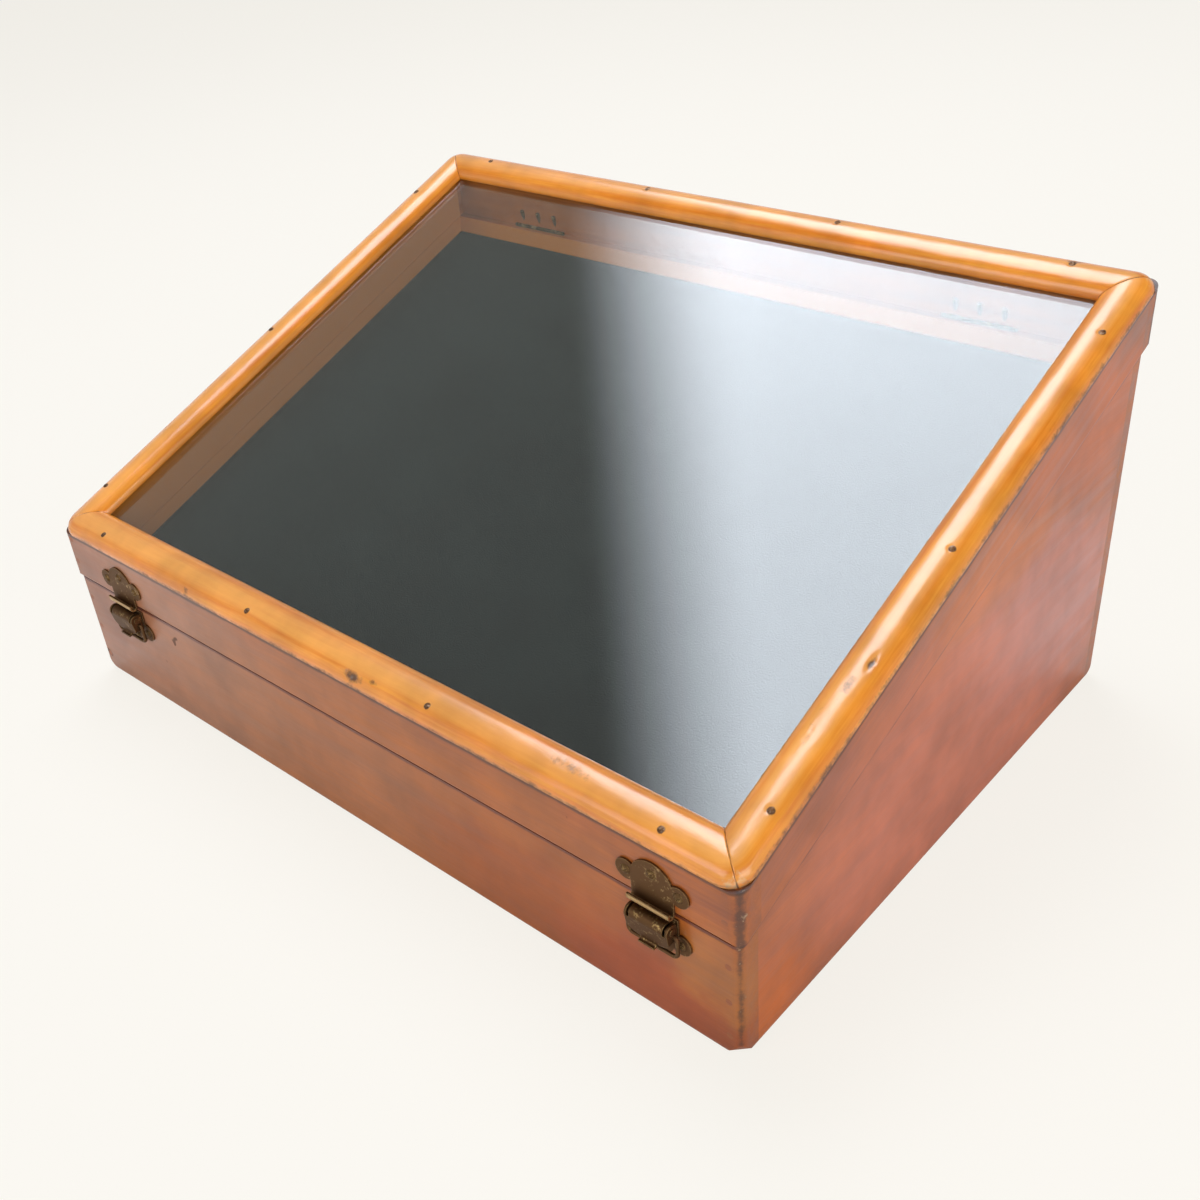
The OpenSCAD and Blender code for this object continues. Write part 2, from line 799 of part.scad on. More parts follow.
// A leaf lies on the side of the seam that level gives: -1 for the base, 1 for the lid
module hinge_leaf(x, level) {
    own = level < 0 ? [0, 2, 4] : [1, 3];
    other = level < 0 ? [1, 3] : [0, 2, 4];
    low = level < 0 ? -hinge_p - leaf_t : hinge_p;
    bore_r = hinge_pin_d / 2 + (level < 0 ? 0 : running_play);
    color("darkkhaki") hinge_frame(x) difference() {
        union() {
            translate([-hinge_l / 2, -leaf_w, low]) cube([hinge_l, leaf_w, leaf_t]);
            for (i = own) knuckle_rod(i, knuckle_r, -knuckle_gap / 2);
        }
        for (i = other) knuckle_rod(i, knuckle_r + leaf_play, knuckle_gap / 2);
        translate([-hinge_l, 0, 0]) rotate([0, 90, 0]) cylinder(r = bore_r, h = 2 * hinge_l);
        hinge_screw_places(level) leaf_screw();
    }
}

module hinge_pin(x) {
    head_r = 1.9;
    head_t = 0.6;
    color("gray") hinge_frame(x) rotate([0, 90, 0]) {
        translate([0, 0, -hinge_l / 2]) cylinder(d = hinge_pin_d, h = hinge_l);
        for (z = [-hinge_l / 2 - head_t, hinge_l / 2]) translate([0, 0, z]) cylinder(r = head_r, h = head_t);
    }
}

// Room that both the base's back and the lid's back rail give to the hinges
module hinge_room() {
    side_play = 0.9;
    half = hinge_l / 2 + side_play;
    for (x = [-hinge_x, hinge_x]) hinge_frame(x) {
        translate([-half, 0, 0]) rotate([0, 90, 0]) cylinder(r = knuckle_r + 2 * leaf_play, h = 2 * half);
        translate([-half, -leaf_w - leaf_play, -hinge_p - leaf_t])
            cube([2 * half, leaf_w + leaf_play, 2 * leaf_t + 2 * hinge_p]);
    }
}

// Countersunk screws, drawn as they go up into the lid
module leaf_screw() {
    cylinder(d1 = screw_head_d - 0.6, d2 = screw_d, h = leaf_t);
    cylinder(d = screw_d, h = screw_l + leaf_t);
}

module hinge_screw_places(level) {
    screw_s = -(leaf_w + knuckle_r) / 2;
    for (i = [-1:1]) translate([i * hinge_l / 3, screw_s, level * hinge_p])
        mirror([0, 0, level < 0 ? 1 : 0]) children();
}

module hinge_screw_shapes(level) {
    for (x = [-hinge_x, hinge_x]) hinge_frame(x) hinge_screw_places(level) leaf_screw();
}

module hinge_base_screws() {
    color("khaki") hinge_screw_shapes(-1);
}

module hinge_lid_screws() {
    color("khaki") hinge_screw_shapes(1);
}

base_front();
base_back();
base_side(-1);  // base_left
base_side(1);  // base_right
base_bottom();
batten_end(-1);  // batten_front
batten_end(1);  // batten_back
batten_side(-1);  // batten_left
batten_side(1);  // batten_right
display_board();
display_lining();
base_corner_nails();
bottom_nails();
catch_plate(left_catch_x);  // left_catch_plate
catch_plate(right_catch_x);  // right_catch_plate
catch_pin(left_catch_x);  // left_catch_pin
catch_pin(right_catch_x);  // right_catch_pin
catch_lever(left_catch_x);  // left_catch_lever
catch_lever(right_catch_x);  // right_catch_lever
catch_bail(left_catch_x);  // left_catch_bail
catch_bail(right_catch_x);  // right_catch_bail
keeper(left_catch_x);  // left_keeper
keeper(right_catch_x);  // right_keeper
catch_screws();
keeper_screws();
hinge_leaf(-hinge_x, -1);  // left_hinge_base_leaf
hinge_leaf(hinge_x, -1);  // right_hinge_base_leaf
hinge_leaf(-hinge_x, 1);  // left_hinge_lid_leaf
hinge_leaf(hinge_x, 1);  // right_hinge_lid_leaf
hinge_pin(-hinge_x);  // left_hinge_pin
hinge_pin(hinge_x);  // right_hinge_pin
hinge_base_screws();
hinge_lid_screws();
lid_front_rail();
lid_back_rail();
lid_side_rail(-1);  // lid_left_rail
lid_side_rail(1);  // lid_right_rail
lid_corner_nails();
glass_pane();
moulding_front();
moulding_back();
moulding_left();
moulding_right();
moulding_pins();
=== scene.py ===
import bpy
import math
import numpy as np
from mathutils import Matrix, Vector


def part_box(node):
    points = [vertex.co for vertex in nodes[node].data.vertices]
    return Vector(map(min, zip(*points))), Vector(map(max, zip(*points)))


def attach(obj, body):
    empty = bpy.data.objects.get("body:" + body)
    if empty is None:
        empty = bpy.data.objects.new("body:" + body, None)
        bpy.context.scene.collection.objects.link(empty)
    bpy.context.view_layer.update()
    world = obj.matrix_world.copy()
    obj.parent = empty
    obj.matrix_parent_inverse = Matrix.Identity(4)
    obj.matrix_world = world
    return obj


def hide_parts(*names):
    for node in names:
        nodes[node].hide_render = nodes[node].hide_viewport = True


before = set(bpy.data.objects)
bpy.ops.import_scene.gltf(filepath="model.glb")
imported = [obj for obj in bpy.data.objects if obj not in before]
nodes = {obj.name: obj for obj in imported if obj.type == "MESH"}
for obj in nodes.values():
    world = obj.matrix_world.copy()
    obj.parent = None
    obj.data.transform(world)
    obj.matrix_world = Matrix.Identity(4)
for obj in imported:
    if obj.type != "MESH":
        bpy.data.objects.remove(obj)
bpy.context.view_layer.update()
print("frame loaded:", len(nodes), "nodes")

# The case in metres: x across the front, y to the back, z up
case = {
    "width": 0.460, "depth": 0.322, "frontHeight": 0.065, "backHeight": 0.188,
    "lidOver": 0.0015, "lidBackOver": 0.005, "lidHeight": 0.029, "seamGap": 0.0003,
    "board": 0.011,
}
slope = math.atan((case["backHeight"] - case["frontHeight"]) / case["depth"])
lidTop = case["seamGap"] + case["lidHeight"] * math.cos(slope)   # height of the lid's top above the seam
lidWidth = case["width"] + 2 * case["lidOver"]


def alongSeam(y, above):
    # Place along the seam of a point at y that stands a given distance above it
    return (y + case["depth"] / 2 + above * math.sin(slope)) / math.cos(slope)


lidStart = alongSeam(-case["depth"] / 2 - case["lidOver"], lidTop)
lidEnd = alongSeam(case["depth"] / 2 + case["lidBackOver"], lidTop)


def fromSlope(points):
    # Slope frame (across, up the seam, square to it) turned by the slope about x and moved to the base's front edge
    across, up, out = points[..., 0], points[..., 1], points[..., 2]
    y = up * math.cos(slope) - out * math.sin(slope) - case["depth"] / 2
    z = up * math.sin(slope) + out * math.cos(slope) + case["frontHeight"]
    return np.stack([across, y, z], axis=-1)


def linear(hexColor, alpha=1.0):
    # sRGB hex to the linear values that the shaders read
    parts = [int(hexColor[i:i + 2], 16) / 255 for i in (1, 3, 5)]
    return (*[c / 12.92 if c <= 0.04045 else ((c + 0.055) / 1.055) ** 2.4 for c in parts], alpha)


def addNode(tree, kind, values=None, links=None, stops=None, **settings):
    node = tree.nodes.new(kind)
    for name, value in settings.items():
        setattr(node, name, value)
    for name, value in (values or {}).items():
        node.inputs[name].default_value = value
    for name, source in (links or {}).items():
        tree.links.new(source, node.inputs[name])
    for i, (place, color) in enumerate(stops or []):
        stop = node.color_ramp.elements[i] if i < 2 else node.color_ramp.elements.new(place)
        stop.position, stop.color = place, color
    return node


def newMaterial(name):
    material = bpy.data.materials.new(name)
    material.use_nodes = True
    material.node_tree.nodes.clear()
    return material, material.node_tree


def smoothNoise(u, v, cell, seed):
    # Seeded random heights on a square lattice, joined by smooth steps: one value for each (u, v), from -1 to 1
    table = np.random.default_rng(seed).uniform(-1, 1, (64, 64))
    a, b = u / cell, v / cell
    i, j = np.floor(a).astype(int), np.floor(b).astype(int)
    s, t = a - i, b - j
    s, t = s * s * (3 - 2 * s), t * t * (3 - 2 * t)
    i0, j0, i1, j1 = i % 64, j % 64, (i + 1) % 64, (j + 1) % 64
    low = table[i0, j0] * (1 - s) + table[i1, j0] * s
    high = table[i0, j1] * (1 - s) + table[i1, j1] * s
    return low * (1 - t) + high * t


def meshPiece(name, points, faces, body, material, smooth=True, **attributes):
    mesh = bpy.data.meshes.new(name)
    mesh.from_pydata(points.reshape(-1, 3).tolist(), [], faces)
    mesh.update()
    for key, values in attributes.items():
        values = np.asarray(values, np.float32)
        if values.ndim > 1 and values.shape[-1] == 3:
            mesh.attributes.new(key, "FLOAT_VECTOR", "POINT").data.foreach_set("vector", values.ravel())
        else:
            mesh.attributes.new(key, "FLOAT", "POINT").data.foreach_set("value", values.ravel())
    mesh.polygons.foreach_set("use_smooth", np.full(len(mesh.polygons), smooth))
    piece = bpy.data.objects.new(name, mesh)
    bpy.context.scene.collection.objects.link(piece)
    mesh.materials.append(material)
    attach(piece, body)
    return piece


def gridFaces(rows, columns):
    # Quads between neighbours of a rows by columns grid
    i, j = np.meshgrid(np.arange(rows - 1), np.arange(columns - 1), indexing="ij")
    a = (i * columns + j).ravel()
    return np.stack([a, a + columns, a + columns + 1, a + 1], axis=1)


# Case: hardwood boards, planed, stained red-brown and shellacked by hand; the shellac gives a soft sheen. Orange, brown
# and
# pink patches run into each other: painted reflections, pink where the glossy shellac mirrors the bright room and
# orange where the stain shows with no reflection on it.
caseWood = {
    "dark": "#8E4414", "light": "#B86420",
    "ringWidth": 0.008, "ringLength": 0.15,     # metres between streaks, across and along the grain
    "fibreWidth": 0.0011, "fibreLength": 0.022,
    "blotch": 0.035,
    "roughness": 0.36, "coat": 0.25, "coatRoughness": 0.20,
    "fieldWarp": 0.05, "knocksPerMetre": 45.0, "knockFree": 0.80, "raggedPerMetre": 130.0,
    "speck": "#3A2418", "edge": "#3A2518", "bare": "#B99A74",
    "inside": "#D98238",
    "seam": "#5A1E12", "underMoulding": "#4A2412", "line": 0.0014,   # dark lines and their half width (m)
}
# Patches of painted reflection, pink where the shellac mirrors the room and orange where none falls: middle (m), reach
# (m), colour, strength
frontReflectionFields = [
    ((-0.17, -0.161, 0.045), (0.17, 0.06, 0.12), "#A87A60", 0.85),
    ((-0.02, -0.161, 0.045), (0.16, 0.06, 0.10), "#AA6A3A", 0.75),
    ((0.13, -0.161, 0.030), (0.12, 0.06, 0.06), "#A4500E", 0.95),
    ((0.18, -0.161, 0.010), (0.07, 0.04, 0.035), "#983A14", 0.75),
    ((0.215, -0.161, 0.045), (0.03, 0.04, 0.030), "#B4702C", 0.70),
    ((-0.21, -0.161, 0.060), (0.03, 0.04, 0.060), "#96604A", 0.60),
    ((0.10, -0.161, 0.070), (0.13, 0.06, 0.030), "#A85C16", 0.80),
]
sideReflectionFields = [
    ((0.230, 0.02, 0.050), (0.05, 0.22, 0.12), "#D07A62", 0.90),
    ((0.230, 0.10, 0.075), (0.05, 0.11, 0.06), "#C07868", 0.80),
    ((0.230, -0.150, 0.000), (0.04, 0.045, 0.075), "#C8620E", 0.95),
    ((0.230, 0.130, 0.165), (0.05, 0.14, 0.050), "#C05A12", 0.90),
    ((0.230, 0.030, 0.135), (0.05, 0.08, 0.030), "#C86A1E", 0.80),
]


def makeCaseWood(name, grain, reflectionFields):
    # grain turns the pattern: "x" along the front and back, "y" along the sides, "slope" along the lid's side rails
    material, tree = newMaterial(name)
    look = caseWood
    place = addNode(tree, "ShaderNodeTexCoord").outputs["Object"]
    turn = {"x": (0, 0, 0), "y": (0, 0, math.pi / 2), "slope": (0, 0, math.pi / 2)}[grain]
    tilted = addNode(tree, "ShaderNodeVectorRotate", {"Angle": -slope if grain == "slope" else 0.0}, {"Vector": place},
                     rotation_type="X_AXIS").outputs[0]
    turned = addNode(tree, "ShaderNodeMapping", {"Rotation": turn}, {"Vector": tilted}).outputs[0]
    rings = addNode(tree, "ShaderNodeMapping",
                    {"Scale": (1 / look["ringLength"], 1 / look["ringWidth"], 1 / look["ringWidth"])},
                    {"Vector": turned}).outputs[0]
    ringNoise = addNode(tree, "ShaderNodeTexNoise", {"Scale": 1.0, "Detail": 3.0, "Roughness": 0.55, "Distortion": 0.6},
                        {"Vector": rings}).outputs[0]
    fibres = addNode(tree, "ShaderNodeMapping",
                     {"Scale": (1 / look["fibreLength"], 1 / look["fibreWidth"], 1 / look["fibreWidth"])},
                     {"Vector": turned}).outputs[0]
    fibreNoise = addNode(tree, "ShaderNodeTexNoise", {"Scale": 1.0, "Detail": 4.0, "Roughness": 0.65},
                         {"Vector": fibres}).outputs[0]
    blotches = addNode(tree, "ShaderNodeTexNoise", {"Scale": 1 / look["blotch"], "Detail": 3.0, "Roughness": 0.6},
                       {"Vector": place})
    # Warped place, so that the painted reflection patches have irregular borders
    warp = addNode(tree, "ShaderNodeVectorMath", {1: (0.5, 0.5, 0.5)}, {0: blotches.outputs["Color"]},
                   operation="SUBTRACT")
    warp = addNode(tree, "ShaderNodeVectorMath", {"Scale": look["fieldWarp"]}, {0: warp.outputs[0]}, operation="SCALE")
    warped = addNode(tree, "ShaderNodeVectorMath", links={0: place, 1: warp.outputs[0]}, operation="ADD").outputs[0]

    grainMix = addNode(tree, "ShaderNodeMix", {0: 0.35}, {2: ringNoise, 3: fibreNoise}, data_type="FLOAT").outputs[0]
    grainRange = addNode(tree, "ShaderNodeMapRange", {"From Min": 0.26, "From Max": 0.74},
                         {"Value": grainMix}).outputs[0]
    color = addNode(tree, "ShaderNodeMix", {6: linear(look["dark"]), 7: linear(look["light"])}, {0: grainRange},
                    data_type="RGBA").outputs[2]
    # Painted reflections: each patch mixes its pink or orange colour into the stained grain
    for middle, reach, reflectionColor, strength in reflectionFields:
        local = addNode(tree, "ShaderNodeVectorMath", {1: middle}, {0: warped}, operation="SUBTRACT").outputs[0]
        local = addNode(tree, "ShaderNodeVectorMath", {1: reach}, {0: local}, operation="DIVIDE").outputs[0]
        length = addNode(tree, "ShaderNodeVectorMath", links={0: local}, operation="LENGTH").outputs["Value"]
        inside = addNode(tree, "ShaderNodeMapRange", {"From Min": 1.0, "From Max": 0.35, "To Max": strength},
                         {"Value": length}, interpolation_type="SMOOTHSTEP").outputs[0]
        grained = addNode(tree, "ShaderNodeMix", {0: 0.22, 6: linear(reflectionColor)}, {7: color},
                          data_type="RGBA").outputs[2]
        color = addNode(tree, "ShaderNodeMix", links={0: inside, 6: color, 7: grained}, data_type="RGBA").outputs[2]
    tone = addNode(tree, "ShaderNodeMapRange", {"From Min": 0.3, "From Max": 0.7, "To Min": 0.80, "To Max": 1.16},
                   {"Value": blotches.outputs[0]}).outputs[0]
    streak = addNode(tree, "ShaderNodeMapRange", {"To Min": 0.92, "To Max": 1.07}, {"Value": grainRange}).outputs[0]
    shade = addNode(tree, "ShaderNodeMath", links={0: tone, 1: streak}, operation="MULTIPLY").outputs[0]
    color = addNode(tree, "ShaderNodeVectorMath", links={0: color, "Scale": shade}, operation="SCALE").outputs[0]

    # Small dark knocks, about 3 mm across, one in five cells
    cells = addNode(tree, "ShaderNodeTexVoronoi", {"Scale": look["knocksPerMetre"]}, {"Vector": warped}, feature="F1")
    knock = addNode(tree, "ShaderNodeMapRange", {"From Min": 0.11, "From Max": 0.04},
                    {"Value": cells.outputs["Distance"]},
                    interpolation_type="SMOOTHSTEP").outputs[0]
    chance = addNode(tree, "ShaderNodeSeparateColor", links={0: cells.outputs["Color"]}).outputs[0]
    chosen = addNode(tree, "ShaderNodeMath", {1: look["knockFree"]}, {0: chance}, operation="GREATER_THAN").outputs[0]
    knock = addNode(tree, "ShaderNodeMath", links={0: knock, 1: chosen}, operation="MULTIPLY").outputs[0]
    knockPart = addNode(tree, "ShaderNodeMath", {1: 0.7}, {0: knock}, operation="MULTIPLY").outputs[0]
    color = addNode(tree, "ShaderNodeMix", {7: linear(look["speck"])}, {0: knockPart, 6: color},
                    data_type="RGBA").outputs[2]

    # Upright corners and foot: dark grime with bare wood rubbed through
    axes = addNode(tree, "ShaderNodeSeparateXYZ", links={0: place}).outputs
    toSide = addNode(tree, "ShaderNodeMath", links={0: axes[0]}, operation="ABSOLUTE").outputs[0]
    toSide = addNode(tree, "ShaderNodeMath", {0: case["width"] / 2}, {1: toSide}, operation="SUBTRACT").outputs[0]
    toFront = addNode(tree, "ShaderNodeMath", links={0: axes[1]}, operation="ABSOLUTE").outputs[0]
    toFront = addNode(tree, "ShaderNodeMath", {0: case["depth"] / 2}, {1: toFront}, operation="SUBTRACT").outputs[0]
    # Inner faces are only varnished, so they are paler and more orange
    nearest = addNode(tree, "ShaderNodeMath", links={0: toSide, 1: toFront}, operation="MINIMUM").outputs[0]
    inner = addNode(tree, "ShaderNodeMath", {1: case["board"] - 0.0006}, {0: nearest},
                    operation="GREATER_THAN").outputs[0]
    inner = addNode(tree, "ShaderNodeMath", {1: 0.8}, {0: inner}, operation="MULTIPLY").outputs[0]
    color = addNode(tree, "ShaderNodeMix", {7: linear(look["inside"])}, {0: inner, 6: color},
                    data_type="RGBA").outputs[2]
    # Dark lines on the outer faces, at one height above the seam each: painted shade in the narrow gap along the seam,
    # and a dark line just under the moulding
    up = addNode(tree, "ShaderNodeMath", {1: case["depth"] / 2}, {0: axes[1]}, operation="ADD").outputs[0]
    up = addNode(tree, "ShaderNodeMath", {1: -math.sin(slope)}, {0: up}, operation="MULTIPLY").outputs[0]
    above = addNode(tree, "ShaderNodeMath", {1: math.cos(slope), 2: -case["frontHeight"] * math.cos(slope)},
                    {0: axes[2]},
                    operation="MULTIPLY_ADD").outputs[0]
    above = addNode(tree, "ShaderNodeMath", links={0: above, 1: up}, operation="ADD").outputs[0]
    uneven = addNode(tree, "ShaderNodeTexNoise", {"Scale": 90.0, "Detail": 3.0}, {"Vector": place}).outputs[0]
    outer = addNode(tree, "ShaderNodeMath", {1: 0.0006}, {0: nearest}, operation="LESS_THAN").outputs[0]
    for level, lineColor, strength in ((0.0, look["seam"], 0.85), (lidTop, look["underMoulding"], 0.80)):
        away = addNode(tree, "ShaderNodeMath", {1: level}, {0: above}, operation="SUBTRACT").outputs[0]
        away = addNode(tree, "ShaderNodeMath", links={0: away}, operation="ABSOLUTE").outputs[0]
        away = addNode(tree, "ShaderNodeMath", {1: look["line"]}, {0: away}, operation="DIVIDE").outputs[0]
        away = addNode(tree, "ShaderNodeMath", links={0: away, 1: uneven}, operation="ADD").outputs[0]
        inside = addNode(tree, "ShaderNodeMapRange", {"From Min": 1.9, "From Max": 1.0, "To Max": strength},
                         {"Value": away}, interpolation_type="SMOOTHSTEP").outputs[0]
        inside = addNode(tree, "ShaderNodeMath", links={0: inside, 1: outer}, operation="MULTIPLY").outputs[0]
        color = addNode(tree, "ShaderNodeMix", {7: linear(lineColor)}, {0: inside, 6: color},
                        data_type="RGBA").outputs[2]

    corner = addNode(tree, "ShaderNodeMath", links={0: toSide, 1: toFront}, operation="MAXIMUM").outputs[0]
    edge = addNode(tree, "ShaderNodeMath", links={0: corner, 1: axes[2]}, operation="MINIMUM").outputs[0]
    ragged = addNode(tree, "ShaderNodeTexNoise", {"Scale": look["raggedPerMetre"], "Detail": 4.0, "Roughness": 0.7},
                     {"Vector": place})
    raggedEdge = addNode(tree, "ShaderNodeMath", {1: -0.006, 2: 0.003}, {0: ragged.outputs[0]},
                         operation="MULTIPLY_ADD")
    edge = addNode(tree, "ShaderNodeMath", links={0: edge, 1: raggedEdge.outputs[0]}, operation="ADD").outputs[0]
    grime = addNode(tree, "ShaderNodeMapRange", {"From Min": 0.0028, "From Max": 0.0006, "To Max": 0.75},
                    {"Value": edge},
                    interpolation_type="SMOOTHSTEP").outputs[0]
    color = addNode(tree, "ShaderNodeMix", {7: linear(look["edge"])}, {0: grime, 6: color}, data_type="RGBA").outputs[2]
    rubbed = addNode(tree, "ShaderNodeMapRange", {"From Min": 0.60, "From Max": 0.68},
                     {"Value": ragged.outputs[0]}).outputs[0]
    rubbed = addNode(tree, "ShaderNodeMath", links={0: rubbed, 1: grime}, operation="MULTIPLY").outputs[0]
    color = addNode(tree, "ShaderNodeMix", {7: linear(look["bare"])}, {0: rubbed, 6: color},
                    data_type="RGBA").outputs[2]

    rough = addNode(tree, "ShaderNodeMapRange", {"From Min": 0.3, "From Max": 0.7, "To Min": look["roughness"] - 0.05,
                    "To Max": look["roughness"] + 0.16}, {"Value": ringNoise}).outputs[0]
    rough = addNode(tree, "ShaderNodeMath", {1: 0.35}, {0: knock, 2: rough}, operation="MULTIPLY_ADD").outputs[0]
    relief = addNode(tree, "ShaderNodeMix", {0: 0.7}, {2: blotches.outputs[0], 3: fibreNoise},
                     data_type="FLOAT").outputs[0]
    relief = addNode(tree, "ShaderNodeMath", {1: 0.5}, {0: knock, 2: relief}, operation="MULTIPLY_ADD").outputs[0]
    bump = addNode(tree, "ShaderNodeBump", {"Strength": 0.18, "Distance": 0.0004}, {"Height": relief},
                   invert=True).outputs[0]
    shader = addNode(tree, "ShaderNodeBsdfPrincipled",
                     {"Coat Weight": look["coat"], "Coat Roughness": look["coatRoughness"], "Coat IOR": 1.52,
                      "IOR": 1.5},
                     {"Base Color": color, "Roughness": rough, "Normal": bump, "Coat Normal": bump})
    addNode(tree, "ShaderNodeOutputMaterial", links={"Surface": shader.outputs[0]})
    return material


# Moulding: pale hardwood run to a half round, then an amber oil varnish with a full gloss
# The crest colour is a painted highlight, paler along the top of the half round
mouldLook = {
    "dark": "#E07A16", "light": "#F4A038", "crest": "#FAB668", "grime": "#43280F", "bare": "#E2C294",
    "ringWidth": 0.0035, "ringLength": 0.09, "fibreWidth": 0.0009, "fibreLength": 0.016,
    "roughness": 0.30, "coat": 0.60, "coatRoughness": 0.14, "blotchesPerMetre": 38.0, "raggedPerMetre": 260.0,
}


def makeMouldWood():
    material, tree = newMaterial("amber_varnished_half_round")
    look = mouldLook
    place = addNode(tree, "ShaderNodeAttribute", attribute_name="grainPlace").outputs["Vector"]
    rings = addNode(tree, "ShaderNodeMapping",
                    {"Scale": (1 / look["ringLength"], 1 / look["ringWidth"], 1 / look["ringWidth"])},
                    {"Vector": place}).outputs[0]
    ringNoise = addNode(tree, "ShaderNodeTexNoise", {"Scale": 1.0, "Detail": 3.0, "Distortion": 0.5},
                        {"Vector": rings}).outputs[0]
    fibres = addNode(tree, "ShaderNodeMapping",
                     {"Scale": (1 / look["fibreLength"], 1 / look["fibreWidth"], 1 / look["fibreWidth"])},
                     {"Vector": place}).outputs[0]
    fibreNoise = addNode(tree, "ShaderNodeTexNoise", {"Scale": 1.0, "Detail": 4.0, "Roughness": 0.65},
                         {"Vector": fibres}).outputs[0]
    blotches = addNode(tree, "ShaderNodeTexNoise", {"Scale": look["blotchesPerMetre"], "Detail": 3.0},
                       {"Vector": place}).outputs[0]
    grain = addNode(tree, "ShaderNodeMix", {0: 0.4}, {2: ringNoise, 3: fibreNoise}, data_type="FLOAT").outputs[0]
    grain = addNode(tree, "ShaderNodeMapRange", {"From Min": 0.34, "From Max": 0.66}, {"Value": grain}).outputs[0]
    color = addNode(tree, "ShaderNodeMix", {6: linear(look["dark"]), 7: linear(look["light"])}, {0: grain},
                    data_type="RGBA").outputs[2]
    # Painted highlight: the top of the half round is painted paler, standing in for the sky's reflection along it
    height = addNode(tree, "ShaderNodeAttribute", attribute_name="crest").outputs["Fac"]
    height = addNode(tree, "ShaderNodeMapRange", {"From Min": 0.80, "From Max": 1.0, "To Max": 0.55}, {"Value": height},
                     interpolation_type="SMOOTHSTEP").outputs[0]
    color = addNode(tree, "ShaderNodeMix", {7: linear(look["crest"])}, {0: height, 6: color},
                    data_type="RGBA").outputs[2]
    tone = addNode(tree, "ShaderNodeMapRange", {"From Min": 0.3, "From Max": 0.7, "To Min": 0.84, "To Max": 1.12},
                   {"Value": blotches}).outputs[0]
    color = addNode(tree, "ShaderNodeVectorMath", links={0: color, "Scale": tone}, operation="SCALE").outputs[0]
    # Rubbed places show the bare wood, and grime lies in the joints, round the pins and along the outer foot
    ragged = addNode(tree, "ShaderNodeTexNoise", {"Scale": look["raggedPerMetre"], "Detail": 5.0, "Roughness": 0.7},
                     {"Vector": place}).outputs[0]
    rub = addNode(tree, "ShaderNodeAttribute", attribute_name="rub").outputs["Fac"]
    rub = addNode(tree, "ShaderNodeMath", links={0: rub, 1: ragged}, operation="ADD").outputs[0]
    rub = addNode(tree, "ShaderNodeMapRange", {"From Min": 0.85, "From Max": 1.10}, {"Value": rub}).outputs[0]
    color = addNode(tree, "ShaderNodeMix", {7: linear(look["bare"])}, {0: rub, 6: color}, data_type="RGBA").outputs[2]
    grime = addNode(tree, "ShaderNodeAttribute", attribute_name="grime").outputs["Fac"]
    grime = addNode(tree, "ShaderNodeMath", links={0: grime, 1: ragged}, operation="ADD").outputs[0]
    grime = addNode(tree, "ShaderNodeMapRange", {"From Min": 0.72, "From Max": 1.15, "To Max": 0.92},
                    {"Value": grime}).outputs[0]
    color = addNode(tree, "ShaderNodeMix", {7: linear(look["grime"])}, {0: grime, 6: color},
                    data_type="RGBA").outputs[2]
    rough = addNode(tree, "ShaderNodeMath", {1: 0.35, 2: look["roughness"]}, {0: rub},
                    operation="MULTIPLY_ADD").outputs[0]
    rough = addNode(tree, "ShaderNodeMath", {1: 0.3}, {0: grime, 2: rough}, operation="MULTIPLY_ADD").outputs[0]
    relief = addNode(tree, "ShaderNodeMix", {0: 0.6}, {2: blotches, 3: fibreNoise}, data_type="FLOAT").outputs[0]
    bump = addNode(tree, "ShaderNodeBump", {"Strength": 0.15, "Distance": 0.0004}, {"Height": relief}).outputs[0]
    shader = addNode(tree, "ShaderNodeBsdfPrincipled",
                     {"Coat Weight": look["coat"], "Coat Roughness": look["coatRoughness"], "Coat IOR": 1.52},
                     {"Base Color": color, "Roughness": rough, "Normal": bump, "Coat Normal": bump})
    addNode(tree, "ShaderNodeOutputMaterial", links={"Surface": shader.outputs[0]})
    return material


# Moulding strips, mitred at the corners, with the outer corners rubbed round
moulding = {
    "width": 0.021, "height": 0.007, "cornerRadius": 0.011, "turns": 57, "step": 0.0022,
    "pinInset": 0.007, "pinPitch": 0.128, "sidePinFirst": 0.033, "sidePinPitch": 0.136,
    "unevenness": 0.00012, "lift": 0.00005,
}
# Dents and scuffs: strip, place along it, place across it, half length, half width, depth, grime, rub
dents = [
    ("front", 0.248, 0.0035, 0.006, 0.0022, 0.0009, 0.75, 0.0),
    ("front", 0.262, 0.0050, 0.003, 0.0014, 0.0003, 0.55, 0.1),
    ("front", 0.120, 0.0020, 0.002, 0.0012, 0.0002, 0.45, 0.0),
    ("front", 0.372, 0.0125, 0.010, 0.0030, 0.0002, 0.35, 0.3),
    ("right", 0.106, 0.0075, 0.004, 0.0013, 0.0010, 0.80, 0.0),
    ("right", 0.094, 0.0100, 0.006, 0.0030, 0.0002, 0.45, 0.2),
    ("right", 0.068, 0.0120, 0.010, 0.0030, 0.0002, 0.30, 0.3),
    ("back", 0.200, 0.0030, 0.002, 0.0012, 0.0003, 0.50, 0.0),
    ("back", 0.040, 0.0045, 0.004, 0.0015, 0.0004, 0.60, 0.0),
    ("left", 0.170, 0.0030, 0.003, 0.0012, 0.0003, 0.50, 0.0),
]


def crownHeight(inward):
    # Half ellipse: height above the lid at a distance in from the outer edge
    reach = np.clip(2 * inward / moulding["width"] - 1, -1, 1)
    return moulding["height"] * np.sqrt(1 - reach ** 2)


